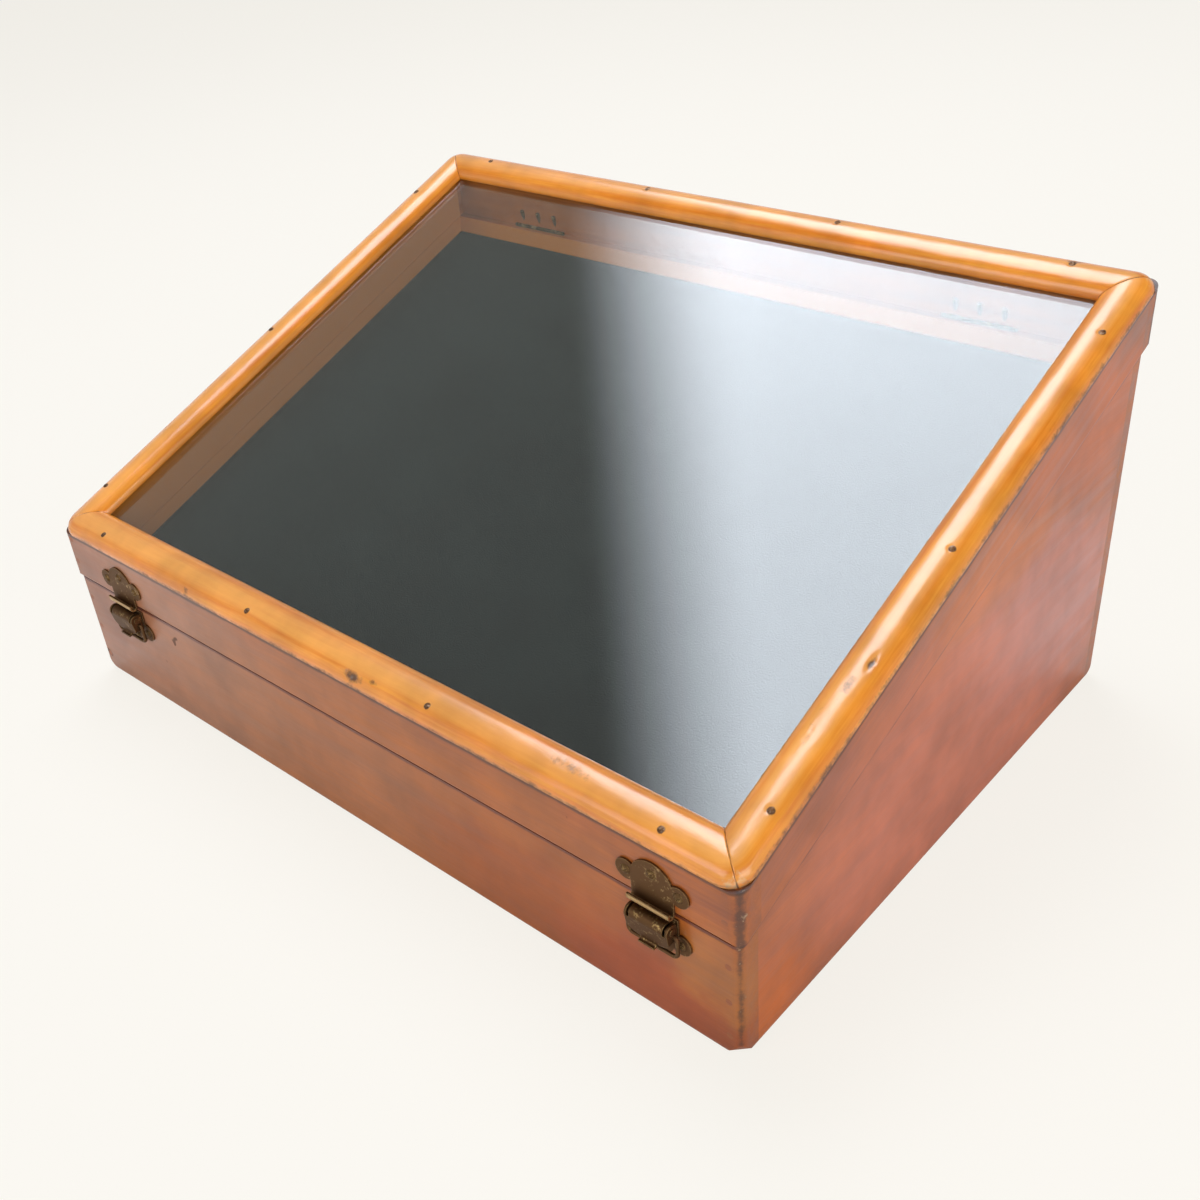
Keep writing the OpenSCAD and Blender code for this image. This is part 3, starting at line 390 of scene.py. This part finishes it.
def mouldStrip(name, start, along, inward, length, pins, seed, material):
    # Grid (q, turn): q walks along the rounded outer outline and turn goes over the half round. A point lies on the
    # line from the outline to the inner edge, and its height is the half ellipse of its distance from the outline.
    look = moulding
    width, radius = look["width"], look["cornerRadius"]
    arc = radius * math.pi / 4
    total = 2 * arc + length - 2 * radius
    ends = np.concatenate([np.linspace(0, 0.002, 9), np.linspace(0.002, 0.026, 31)])
    fine = [np.linspace(p - radius + arc - 0.004, p - radius + arc + 0.004, 23) for p in pins]
    fine += [np.linspace(d[1] - radius + arc - 2 * d[3], d[1] - radius + arc + 2 * d[3], 25)
             for d in dents if d[0] == name]
    q = np.concatenate([ends, total - ends, np.arange(0.026, total - 0.026, look["step"]), *fine])
    q = np.unique(np.round(q[(q >= 0) & (q <= total)], 6))
    fromEnd = np.minimum(q, total - q)
    turnIn = np.clip(1 - fromEnd / arc, 0, 1) * math.pi / 4
    outU = np.where(fromEnd < arc, radius - radius * np.sin(turnIn), radius + fromEnd - arc)
    outA = radius - radius * np.cos(turnIn)
    settle = 0.060
    first = radius * (1 - math.sqrt(0.5))
    inU = np.where(outU < settle, width + (outU - first) * (settle - width) / (settle - first), outU)
    far = q > total / 2
    outU, inU = np.where(far, length - outU, outU), np.where(far, length - inU, inU)
    turn = np.linspace(0, math.pi, look["turns"])
    share = (1 - np.cos(turn)) / 2
    u = outU[:, None] + share[None] * (inU - outU)[:, None]
    a = outA[:, None] + share[None] * (width - outA)[:, None]
    nearEnd = np.minimum(u, length - u)
    inCorner = (nearEnd < radius) & (a < radius)
    depth = np.where(inCorner, radius - np.hypot(radius - nearEnd, radius - a), a)
    height = crownHeight(depth)
    level = height / look["height"]
    uneven = smoothNoise(u, a * 3, 0.030, seed) + 0.5 * smoothNoise(u, a * 3, 0.009, seed + 1)
    height = height + look["unevenness"] * uneven * level
    toMitre = np.maximum(nearEnd - a, 0)
    grime = 0.45 * np.exp(-(toMitre / 0.0005) ** 2) + 0.40 * np.exp(-(depth / 0.0006) ** 2)
    grime = grime + 0.12 * smoothNoise(u, a, 0.012, seed + 2)
    cornerness = np.exp(-(np.hypot(nearEnd, a) / 0.010) ** 2)
    rub = 0.55 * cornerness * (depth < width) + 0.10 * smoothNoise(u, a, 0.02, seed + 3)
    height = height - 0.0004 * np.exp(-(toMitre / 0.0004) ** 2) * level
    for strip, du, da, halfU, halfA, deep, dirt, worn in dents:
        if strip == name:
            spot = np.exp(-((u - du) / halfU) ** 2 - ((a - da) / halfA) ** 2)
            height = height - deep * spot * (0.8 + 0.4 * smoothNoise(u, a, 0.0015, seed + 5))
            grime, rub = grime + dirt * spot, rub + worn * spot
    pinLevel = crownHeight(np.array(look["pinInset"]))
    for p in pins:
        away = np.hypot(u - p, a - look["pinInset"])
        cup = np.clip((0.0026 - away) / 0.0009, 0, 1)
        height = height + (np.minimum(height, pinLevel - 0.00005) - height) * cup * cup * (3 - 2 * cup)
        grime = grime + 0.55 * np.exp(-(np.maximum(away - 0.0014, 0) / 0.0004) ** 2)
    height = np.maximum(height, 0)
    height[:, 0] = height[:, -1] = 0
    plan = start[None, None] + u[..., None] * along[None, None] + a[..., None] * inward[None, None]
    out = lidTop + look["lift"] + height * (1 - look["lift"] / look["height"])
    points = fromSlope(np.concatenate([plan, out[..., None]], axis=-1))
    rows, columns = u.shape
    faces = gridFaces(rows, columns).tolist()
    last = columns - 1
    faces += [[i * columns + last, (i + 1) * columns + last, (i + 1) * columns, i * columns] for i in range(rows - 1)]
    faces += [list(range(columns)), list(range(rows * columns - 1, (rows - 1) * columns - 1, -1))]
    arcLength = width * 1.25 * turn / math.pi
    grainPlace = np.stack([u, np.broadcast_to(arcLength, u.shape), np.full(u.shape, 0.1 * seed)], axis=-1)
    # level is also the mask of the painted highlight along the crest
    piece = meshPiece("moulding_strip_" + name, points, faces, "lid", material, grainPlace=grainPlace, grime=grime,
                      rub=rub, crest=level)
    flat = np.zeros(len(faces), bool)
    flat[(rows - 1) * (columns - 1):] = True
    piece.data.polygons.foreach_set("use_smooth", ~flat)
    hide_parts("moulding_" + name)
    return piece


mouldWood = makeMouldWood()
half, lidLength = lidWidth / 2, lidEnd - lidStart
endPins = [half + i * moulding["pinPitch"] for i in (-1.5, -0.5, 0.5, 1.5)]
sidePins = [moulding["sidePinFirst"] + i * moulding["sidePinPitch"] for i in range(3)]
strips = [
    ("front", (-half, lidStart), (1, 0), (0, 1), lidWidth, endPins),
    ("back", (half, lidEnd), (-1, 0), (0, -1), lidWidth, endPins),
    ("left", (-half, lidEnd), (0, -1), (1, 0), lidLength, [lidLength - p for p in sidePins]),
    ("right", (half, lidStart), (0, 1), (-1, 0), lidLength, sidePins),
]
for seed, (side, start, along, inward, length, pins) in enumerate(strips):
    mouldStrip(side, np.array(start, float), np.array(along, float), np.array(inward, float), length, pins,
               10 * seed + 3, mouldWood)
print("moulding made")


# Lining: short charcoal felt, glued down flat, with a faint greenish cast and lint on it
lining = {
    "drop": 0.008, "thickness": 0.0015, "step": 0.004, "wave": 0.00018,
    "base": "#101416", "pale": "#1E2425", "lint": "#70767A", "fibre": 0.0009,
    "inset": 0.0002, "lift": 0.00002, "napPerMetre": 22.0, "lintPerMetre": 120.0, "lintFree": 0.93,
}


def makeFelt():
    material, tree = newMaterial("charcoal_felt")
    place = addNode(tree, "ShaderNodeTexCoord").outputs["Object"]
    pile = addNode(tree, "ShaderNodeTexNoise", {"Scale": 1 / lining["fibre"], "Detail": 4.0, "Roughness": 0.7},
                   {"Vector": place}).outputs[0]
    nap = addNode(tree, "ShaderNodeTexNoise", {"Scale": lining["napPerMetre"], "Detail": 4.0, "Roughness": 0.6},
                  {"Vector": place}).outputs[0]
    both = addNode(tree, "ShaderNodeMix", {0: 0.5}, {2: pile, 3: nap}, data_type="FLOAT").outputs[0]
    both = addNode(tree, "ShaderNodeMapRange", {"From Min": 0.35, "From Max": 0.65}, {"Value": both}).outputs[0]
    color = addNode(tree, "ShaderNodeMix", {6: linear(lining["base"]), 7: linear(lining["pale"])}, {0: both},
                    data_type="RGBA").outputs[2]
    cells = addNode(tree, "ShaderNodeTexVoronoi", {"Scale": lining["lintPerMetre"], "Randomness": 1.0},
                    {"Vector": place}, feature="F1")
    lint = addNode(tree, "ShaderNodeMapRange", {"From Min": 0.07, "From Max": 0.03},
                   {"Value": cells.outputs["Distance"]}).outputs[0]
    chance = addNode(tree, "ShaderNodeSeparateColor", links={0: cells.outputs["Color"]}).outputs[1]
    chosen = addNode(tree, "ShaderNodeMath", {1: lining["lintFree"]}, {0: chance}, operation="GREATER_THAN").outputs[0]
    lint = addNode(tree, "ShaderNodeMath", links={0: lint, 1: chosen}, operation="MULTIPLY").outputs[0]
    color = addNode(tree, "ShaderNodeMix", {7: linear(lining["lint"])}, {0: lint, 6: color},
                    data_type="RGBA").outputs[2]
    bump = addNode(tree, "ShaderNodeBump", {"Strength": 0.6, "Distance": 0.0003}, {"Height": pile}).outputs[0]
    shader = addNode(tree, "ShaderNodeBsdfPrincipled",
                     {"Roughness": 0.95, "Sheen Weight": 0.03, "Sheen Roughness": 0.5, "Specular IOR Level": 0.06},
                     {"Base Color": color, "Normal": bump})
    addNode(tree, "ShaderNodeOutputMaterial", links={"Surface": shader.outputs[0]})
    return material


def layLining():
    # Grid (x, place up the slope) at the lining's height, with a wave of seeded noise; a closed skin of even thickness
    low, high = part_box("display_lining")
    top = -lining["drop"]
    front = alongSeam(low.y, top)
    back = alongSeam(high.y, top - lining["thickness"])
    x = np.linspace(low.x + lining["inset"], high.x - lining["inset"], int((high.x - low.x) / lining["step"]))
    s = np.linspace(front, back, int((back - front) / lining["step"]))
    gridX, gridS = np.meshgrid(x, s, indexing="ij")
    wave = lining["wave"] * smoothNoise(gridX + 1, gridS + 1, 0.05, 31) - lining["wave"]
    upper = fromSlope(np.stack([gridX, gridS, top + wave], axis=-1))
    bottom = np.full(gridX.shape, top - lining["thickness"] + lining["lift"])
    lower = fromSlope(np.stack([gridX, gridS, bottom], axis=-1))
    rows, columns = gridX.shape
    count = rows * columns
    faces = gridFaces(rows, columns)
    under = faces[:, ::-1] + count
    loop = np.concatenate([np.arange(columns), np.arange(1, rows) * columns + columns - 1,
                           (rows - 1) * columns + np.arange(columns - 2, -1, -1), np.arange(rows - 2, 0, -1) * columns])
    after = np.roll(loop, -1)
    rim = np.stack([loop, after, after + count, loop + count], axis=1)
    piece = meshPiece("lining_felt", np.concatenate([upper.reshape(-1, 3), lower.reshape(-1, 3)]),
                      np.concatenate([faces, under, rim]).tolist(), "base", makeFelt(), smooth=False)
    piece.data.polygons.foreach_set("use_smooth", np.arange(len(piece.data.polygons)) < 2 * len(faces))
    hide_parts("display_lining")
    return piece


layLining()
print("lining laid")


# Pane: clear drawn window glass with a faint green tint
pane = {"tint": "#EEF5F2"}


def makeGlass():
    material, tree = newMaterial("clear_window_glass")
    clear = addNode(tree, "ShaderNodeBsdfPrincipled",
                    {"Base Color": linear(pane["tint"]), "Roughness": 0.0, "IOR": 1.52, "Transmission Weight": 1.0})
    # Lamps reach through, as they do through real glass
    through = addNode(tree, "ShaderNodeBsdfTransparent", {"Color": linear(pane["tint"])})
    path = addNode(tree, "ShaderNodeLightPath").outputs
    toLamps = addNode(tree, "ShaderNodeMath", links={0: path["Is Shadow Ray"], 1: path["Is Diffuse Ray"]},
                      operation="MAXIMUM").outputs[0]
    mixed = addNode(tree, "ShaderNodeMixShader", links={0: toLamps, 1: clear.outputs[0], 2: through.outputs[0]})
    addNode(tree, "ShaderNodeOutputMaterial", links={"Surface": mixed.outputs[0]})
    return material


# Metals. Brass goes brown-black where it isn't touched and stays bright where hands and parts rub it.
def makeMetal(name, clean, tarnish, cleanShare, roughness, grain, rubbed=None):
    # rubbed is the lowest and highest corner (m) of each place painted as clean brass, for each catch: the painted
    # highlight over its keeper's hook
    material, tree = newMaterial(name)
    place = addNode(tree, "ShaderNodeTexCoord").outputs["Object"]
    coarse = addNode(tree, "ShaderNodeTexNoise", {"Scale": grain, "Detail": 5.0, "Roughness": 0.65},
                     {"Vector": place}).outputs[0]
    fine = addNode(tree, "ShaderNodeTexNoise", {"Scale": 6 * grain, "Detail": 3.0}, {"Vector": place}).outputs[0]
    both = addNode(tree, "ShaderNodeMix", {0: 0.3}, {2: coarse, 3: fine}, data_type="FLOAT").outputs[0]
    bright = addNode(tree, "ShaderNodeMapRange", {"From Min": 0.62 - 0.25 * cleanShare,
    "From Max": 0.76 - 0.30 * cleanShare},
                     {"Value": both}).outputs[0]
    # Edges stand out and are rubbed bright
    rounded = addNode(tree, "ShaderNodeBevel", {"Radius": 0.0004}, samples=4).outputs[0]
    surface = addNode(tree, "ShaderNodeNewGeometry").outputs["True Normal"]
    agree = addNode(tree, "ShaderNodeVectorMath", links={0: rounded, 1: surface},
                    operation="DOT_PRODUCT").outputs["Value"]
    edge = addNode(tree, "ShaderNodeMapRange", {"From Min": 0.985, "From Max": 0.85, "To Max": 0.6},
                   {"Value": agree}).outputs[0]
    bright = addNode(tree, "ShaderNodeMath", links={0: bright, 1: edge}, operation="MAXIMUM").outputs[0]
    # Each place is a painted highlight, given the clean colour and the low roughness
    for low, high in rubbed or []:
        middle = [(a + b) / 2 for a, b in zip(low, high)]
        reach = [(b - a) / 2 for a, b in zip(low, high)]
        local = addNode(tree, "ShaderNodeVectorMath", {1: middle}, {0: place}, operation="SUBTRACT").outputs[0]
        local = addNode(tree, "ShaderNodeVectorMath", {1: reach}, {0: local}, operation="DIVIDE").outputs[0]
        local = addNode(tree, "ShaderNodeVectorMath", links={0: local}, operation="ABSOLUTE").outputs[0]
        parts = addNode(tree, "ShaderNodeSeparateXYZ", links={0: local}).outputs
        most = addNode(tree, "ShaderNodeMath", links={0: parts[0], 1: parts[1]}, operation="MAXIMUM").outputs[0]
        most = addNode(tree, "ShaderNodeMath", links={0: most, 1: parts[2]}, operation="MAXIMUM").outputs[0]
        inside = addNode(tree, "ShaderNodeMapRange", {"From Min": 1.1, "From Max": 0.85}, {"Value": most}).outputs[0]
        bright = addNode(tree, "ShaderNodeMath", links={0: bright, 1: inside}, operation="MAXIMUM").outputs[0]
    color = addNode(tree, "ShaderNodeMix", {6: linear(tarnish), 7: linear(clean)}, {0: bright},
                    data_type="RGBA").outputs[2]
    rough = addNode(tree, "ShaderNodeMapRange", {"To Min": roughness + 0.22, "To Max": roughness},
                    {"Value": bright}).outputs[0]
    bump = addNode(tree, "ShaderNodeBump", {"Strength": 0.25, "Distance": 0.0002},
                   {"Height": both, "Normal": rounded}).outputs[0]
    shader = addNode(tree, "ShaderNodeBsdfPrincipled", {"Metallic": 1.0},
                     {"Base Color": color, "Roughness": rough, "Normal": bump})
    addNode(tree, "ShaderNodeOutputMaterial", links={"Surface": shader.outputs[0]})
    return material


# Plain wood: sawn softwood battens, thin plywood for the bottom and the display board, and the stained wax over nails.
# Rings and fibres are counted to the metre.
plainWood = {"ringsAlong": 7.0, "fibresAlong": 50.0, "fibresAcross": 900.0}


def makePlainWood(name, dark, light, ring, roughness):
    material, tree = newMaterial(name)
    place = addNode(tree, "ShaderNodeTexCoord").outputs["Object"]
    look = plainWood
    rings = addNode(tree, "ShaderNodeMapping", {"Scale": (look["ringsAlong"], 1 / ring, 1 / ring)},
                    {"Vector": place}).outputs[0]
    ringNoise = addNode(tree, "ShaderNodeTexNoise", {"Scale": 1.0, "Detail": 3.0, "Distortion": 0.8},
                        {"Vector": rings}).outputs[0]
    fibres = addNode(tree, "ShaderNodeMapping",
                     {"Scale": (look["fibresAlong"], look["fibresAcross"], look["fibresAcross"])},
                     {"Vector": place}).outputs[0]
    fibreNoise = addNode(tree, "ShaderNodeTexNoise", {"Scale": 1.0, "Detail": 3.0}, {"Vector": fibres}).outputs[0]
    grain = addNode(tree, "ShaderNodeMix", {0: 0.35}, {2: ringNoise, 3: fibreNoise}, data_type="FLOAT").outputs[0]
    grain = addNode(tree, "ShaderNodeMapRange", {"From Min": 0.36, "From Max": 0.64}, {"Value": grain}).outputs[0]
    color = addNode(tree, "ShaderNodeMix", {6: linear(dark), 7: linear(light)}, {0: grain}, data_type="RGBA").outputs[2]
    bump = addNode(tree, "ShaderNodeBump", {"Strength": 0.4, "Distance": 0.0004}, {"Height": fibreNoise}).outputs[0]
    rough = addNode(tree, "ShaderNodeMapRange", {"To Min": roughness - 0.1, "To Max": roughness + 0.1},
                    {"Value": grain}).outputs[0]
    shader = addNode(tree, "ShaderNodeBsdfPrincipled", links={"Base Color": color, "Roughness": rough, "Normal": bump})
    addNode(tree, "ShaderNodeOutputMaterial", links={"Surface": shader.outputs[0]})
    return material


# Painted highlight on the catches: a bar of clean brass over each keeper's hook, standing in for the hooked bail's
# highlight, with its half width, reach in front and height (m)
catches = {"places": (-0.179, 0.190), "barHalf": 0.0108, "barOut": (0.0075, 0.0030), "barHeight": (-0.0005, 0.0036)}
hookHighlightBars = [
    tuple((x + sign * catches["barHalf"], -case["depth"] / 2 - catches["barOut"][end],
           case["frontHeight"] + catches["barHeight"][end]) for end, sign in enumerate((-1, 1)))
    for x in catches["places"]
]
finishes = {
    "front": makeCaseWood("shellacked_hardwood_front", "x", frontReflectionFields),
    "back": makeCaseWood("shellacked_hardwood_back", "x", []),
    "side": makeCaseWood("shellacked_hardwood_sides", "y", sideReflectionFields),
    "lidFront": makeCaseWood("shellacked_hardwood_lid_front", "x", frontReflectionFields),
    "lidSide": makeCaseWood("shellacked_hardwood_lid_sides", "slope", sideReflectionFields),
    "panel": makePlainWood("bare_plywood", "#A9835A", "#C9A67C", 0.006, 0.75),
    "batten": makePlainWood("sawn_softwood", "#B38E60", "#D2B284", 0.004, 0.85),
    "glass": makeGlass(),
    "stoppings": makePlainWood("stained_wax_stopping", "#8A4A24", "#A05A30", 0.002, 0.45),
    "nails": makeMetal("rusted_iron_nails", "#6E5C4C", "#2C211A", 0.3, 0.5, 700.0),
    "pins": makeMetal("domed_steel_pins", "#A48C74", "#6C4A30", 0.5, 0.40, 800.0),
    "plates": makeMetal("tarnished_sheet_brass", "#C0A06C", "#6E5034", 0.25, 0.36, 180.0, hookHighlightBars),
    "levers": makeMetal("tarnished_pressed_brass", "#B0925E", "#664A30", 0.25, 0.34, 200.0),
    "wire": makeMetal("drawn_brass_wire", "#AC9060", "#6A4E34", 0.30, 0.34, 400.0),
    "screws": makeMetal("dull_brass_screws", "#B49660", "#6A5034", 0.35, 0.40, 500.0),
    "hinges": makeMetal("rolled_brass_hinges", "#A68E5A", "#5A4A30", 0.5, 0.36, 220.0),
    "hingePins": makeMetal("drawn_steel_hinge_pins", "#8E8A84", "#544C44", 0.5, 0.35, 600.0),
}
finishOf = {
    "front": ["base_front"], "back": ["base_back", "lid_back_rail"], "side": ["base_left", "base_right"],
    "lidFront": ["lid_front_rail"], "lidSide": ["lid_left_rail", "lid_right_rail"],
    "panel": ["base_bottom", "display_board"], "batten": ["batten_front", "batten_back", "batten_left", "batten_right"],
    "glass": ["glass_pane"], "nails": ["bottom_nails"],
    "stoppings": ["base_corner_nails", "lid_corner_nails"], "pins": ["moulding_pins"],
    "plates": ["left_catch_plate", "right_catch_plate", "left_keeper", "right_keeper"],
    "levers": ["left_catch_lever", "right_catch_lever"],
    "wire": ["left_catch_bail", "right_catch_bail", "left_catch_pin", "right_catch_pin"],
    "screws": ["catch_screws", "keeper_screws", "hinge_base_screws", "hinge_lid_screws"],
    "hinges": ["left_hinge_base_leaf", "right_hinge_base_leaf", "left_hinge_lid_leaf", "right_hinge_lid_leaf"],
    "hingePins": ["left_hinge_pin", "right_hinge_pin"],
}
for finish, names in finishOf.items():
    for name in names:
        nodes[name].material_slots[0].material = finishes[finish]
print("finishes given to", sum(len(names) for names in finishOf.values()), "nodes")


# Studio: pale floor, soft light and the camera
studio = {
    "floorSize": 14.0, "floor": "#FAF7F0", "floorGlow": 0.86,
    "worldLow": 1.00, "worldHigh": 0.10, "worldTurn": 0.65, "worldColor": "#F4F5F8",
    "panelMiddle": (-0.5844, 0.5234, 1.9502), "panelAim": (-0.0075, 0.4309, 1.1387), "panelTurn": 127.58,
    "panelSize": (1.35, 1.73), "panelGlow": 7.8, "panelFade": (0.5, 0.7), "panelColor": "#E8EEF9",
    "floorStrength": 1.02,
    "fills": [((2.2, -0.9, 1.3), (0, 0, 0.1), (1.8, 1.4), 26.0), ((-0.6, -2.4, 1.3), (0, 0, 0.1), (1.6, 1.2), 16.0)],
    "camera": (0.43545, -0.43863, 0.44621), "azimuth": 43.403, "elevation": 32.93, "roll": -4.605, "lens": 40.168,
}


def aimed(position, target):
    # Matrix that stands at position with its -Z axis toward target
    away = np.array(position, float) - np.array(target, float)
    away /= np.linalg.norm(away)
    side = np.cross((0, 0, 1), away)
    side /= np.linalg.norm(side)
    up = np.cross(away, side)
    return Matrix([[side[i], up[i], away[i], position[i]] for i in range(3)] + [[0, 0, 0, 1]])


def makeStudio():
    size = studio["floorSize"] / 2
    floor = bpy.data.meshes.new("floor")
    floor.from_pydata([(-size, -size, 0), (size, -size, 0), (size, size, 0), (-size, size, 0)], [], [(0, 1, 2, 3)])
    floorPiece = bpy.data.objects.new("floor", floor)
    bpy.context.scene.collection.objects.link(floorPiece)
    material, tree = newMaterial("pale_studio_floor")
    paint = addNode(tree, "ShaderNodeBsdfDiffuse", {"Color": linear(studio["floor"])})
    glow = addNode(tree, "ShaderNodeEmission", {"Color": linear(studio["floor"]), "Strength": studio["floorStrength"]})
    path = addNode(tree, "ShaderNodeLightPath").outputs
    share = addNode(tree, "ShaderNodeMath", {1: studio["floorGlow"]}, {0: path["Is Camera Ray"]},
                    operation="MULTIPLY").outputs[0]
    mixed = addNode(tree, "ShaderNodeMixShader", links={0: share, 1: paint.outputs[0], 2: glow.outputs[0]})
    addNode(tree, "ShaderNodeOutputMaterial", links={"Surface": mixed.outputs[0]})
    floor.materials.append(material)

    world = bpy.data.worlds.new("studio")
    bpy.context.scene.world = world
    world.use_nodes = True
    tree = world.node_tree
    tree.nodes.clear()
    toward = addNode(tree, "ShaderNodeTexCoord").outputs["Generated"]
    up = addNode(tree, "ShaderNodeSeparateXYZ", links={0: toward}).outputs[2]
    strength = addNode(tree, "ShaderNodeMapRange", {"From Max": studio["worldTurn"], "To Min": studio["worldLow"],
                       "To Max": studio["worldHigh"]}, {"Value": up})
    room = addNode(tree, "ShaderNodeBackground", {"Color": linear(studio["worldColor"])},
                   {"Strength": strength.outputs[0]})
    backdrop = addNode(tree, "ShaderNodeBackground", {"Color": linear(studio["floor"]), "Strength": 1.0})
    path = addNode(tree, "ShaderNodeLightPath").outputs
    seen = addNode(tree, "ShaderNodeMath", links={0: path["Is Camera Ray"], 1: path["Is Transmission Ray"]},
                   operation="MAXIMUM").outputs[0]
    mixed = addNode(tree, "ShaderNodeMixShader", links={0: seen, 1: room.outputs[0], 2: backdrop.outputs[0]})
    addNode(tree, "ShaderNodeOutputWorld", links={"Surface": mixed.outputs[0]})

    # Softbox with a soft edge: a panel that glows evenly and fades at its rim
    width, height = studio["panelSize"]
    panel = bpy.data.meshes.new("softbox")
    panel.from_pydata([(-width / 2, -height / 2, 0), (width / 2, -height / 2, 0), (width / 2, height / 2, 0),
                       (-width / 2, height / 2, 0)], [], [(0, 3, 2, 1)])
    softbox = bpy.data.objects.new("softbox", panel)
    bpy.context.scene.collection.objects.link(softbox)
    softbox.matrix_world = (aimed(studio["panelMiddle"], studio["panelAim"])
                            @ Matrix.Rotation(math.radians(studio["panelTurn"]), 4, "Z"))
    softbox.visible_camera = softbox.visible_shadow = False
    material, tree = newMaterial("softbox_cloth")
    spot = addNode(tree, "ShaderNodeTexCoord").outputs["Object"]
    spot = addNode(tree, "ShaderNodeVectorMath", {1: (width / 2, height / 2, 1)}, {0: spot},
                   operation="DIVIDE").outputs[0]
    spot = addNode(tree, "ShaderNodeVectorMath", links={0: spot}, operation="ABSOLUTE").outputs[0]
    parts = addNode(tree, "ShaderNodeSeparateXYZ", links={0: spot}).outputs
    fadeX = addNode(tree, "ShaderNodeMapRange", {"From Min": 1.0, "From Max": studio["panelFade"][0]},
                    {"Value": parts[0]},
                    interpolation_type="SMOOTHSTEP").outputs[0]
    fadeY = addNode(tree, "ShaderNodeMapRange", {"From Min": 1.0, "From Max": studio["panelFade"][1]},
                    {"Value": parts[1]},
                    interpolation_type="SMOOTHSTEP").outputs[0]
    fade = addNode(tree, "ShaderNodeMath", links={0: fadeX, 1: fadeY}, operation="MULTIPLY").outputs[0]
    fade = addNode(tree, "ShaderNodeMath", {1: studio["panelGlow"]}, {0: fade}, operation="MULTIPLY").outputs[0]
    glow = addNode(tree, "ShaderNodeEmission", {"Color": linear(studio["panelColor"])}, {"Strength": fade})
    clear = addNode(tree, "ShaderNodeBsdfTransparent")
    both = addNode(tree, "ShaderNodeAddShader", links={0: glow.outputs[0], 1: clear.outputs[0]})
    addNode(tree, "ShaderNodeOutputMaterial", links={"Surface": both.outputs[0]})
    panel.materials.append(material)

    for i, (position, target, area, power) in enumerate(studio["fills"]):
        lamp = bpy.data.lights.new("fill_%d" % i, "AREA")
        lamp.shape, lamp.size, lamp.size_y, lamp.energy = "RECTANGLE", area[0], area[1], power
        lampPiece = bpy.data.objects.new(lamp.name, lamp)
        bpy.context.scene.collection.objects.link(lampPiece)
        lampPiece.matrix_world = aimed(position, target)
        lampPiece.visible_camera = False


def placeCamera():
    azimuth, elevation, roll = (math.radians(studio[k]) for k in ("azimuth", "elevation", "roll"))
    flat = math.cos(elevation)
    forward = np.array([-math.sin(azimuth) * flat, math.cos(azimuth) * flat, -math.sin(elevation)])
    right = np.array([math.cos(azimuth), math.sin(azimuth), 0])
    up = np.cross(right, forward)
    turnedRight = math.cos(roll) * right + math.sin(roll) * up
    turnedUp = -math.sin(roll) * right + math.cos(roll) * up
    data = bpy.data.cameras.new("camera")
    data.lens, data.sensor_width, data.sensor_fit, data.clip_start = studio["lens"], 36, "HORIZONTAL", 0.01
    camera = bpy.data.objects.new("camera", data)
    bpy.context.scene.collection.objects.link(camera)
    rows = [[turnedRight[i], turnedUp[i], -forward[i], studio["camera"][i]] for i in range(3)]
    camera.matrix_world = Matrix(rows + [[0, 0, 0, 1]])
    bpy.context.scene.camera = camera


makeStudio()
placeCamera()
bpy.context.scene.view_settings.view_transform = "Standard"
print("studio and camera ready")
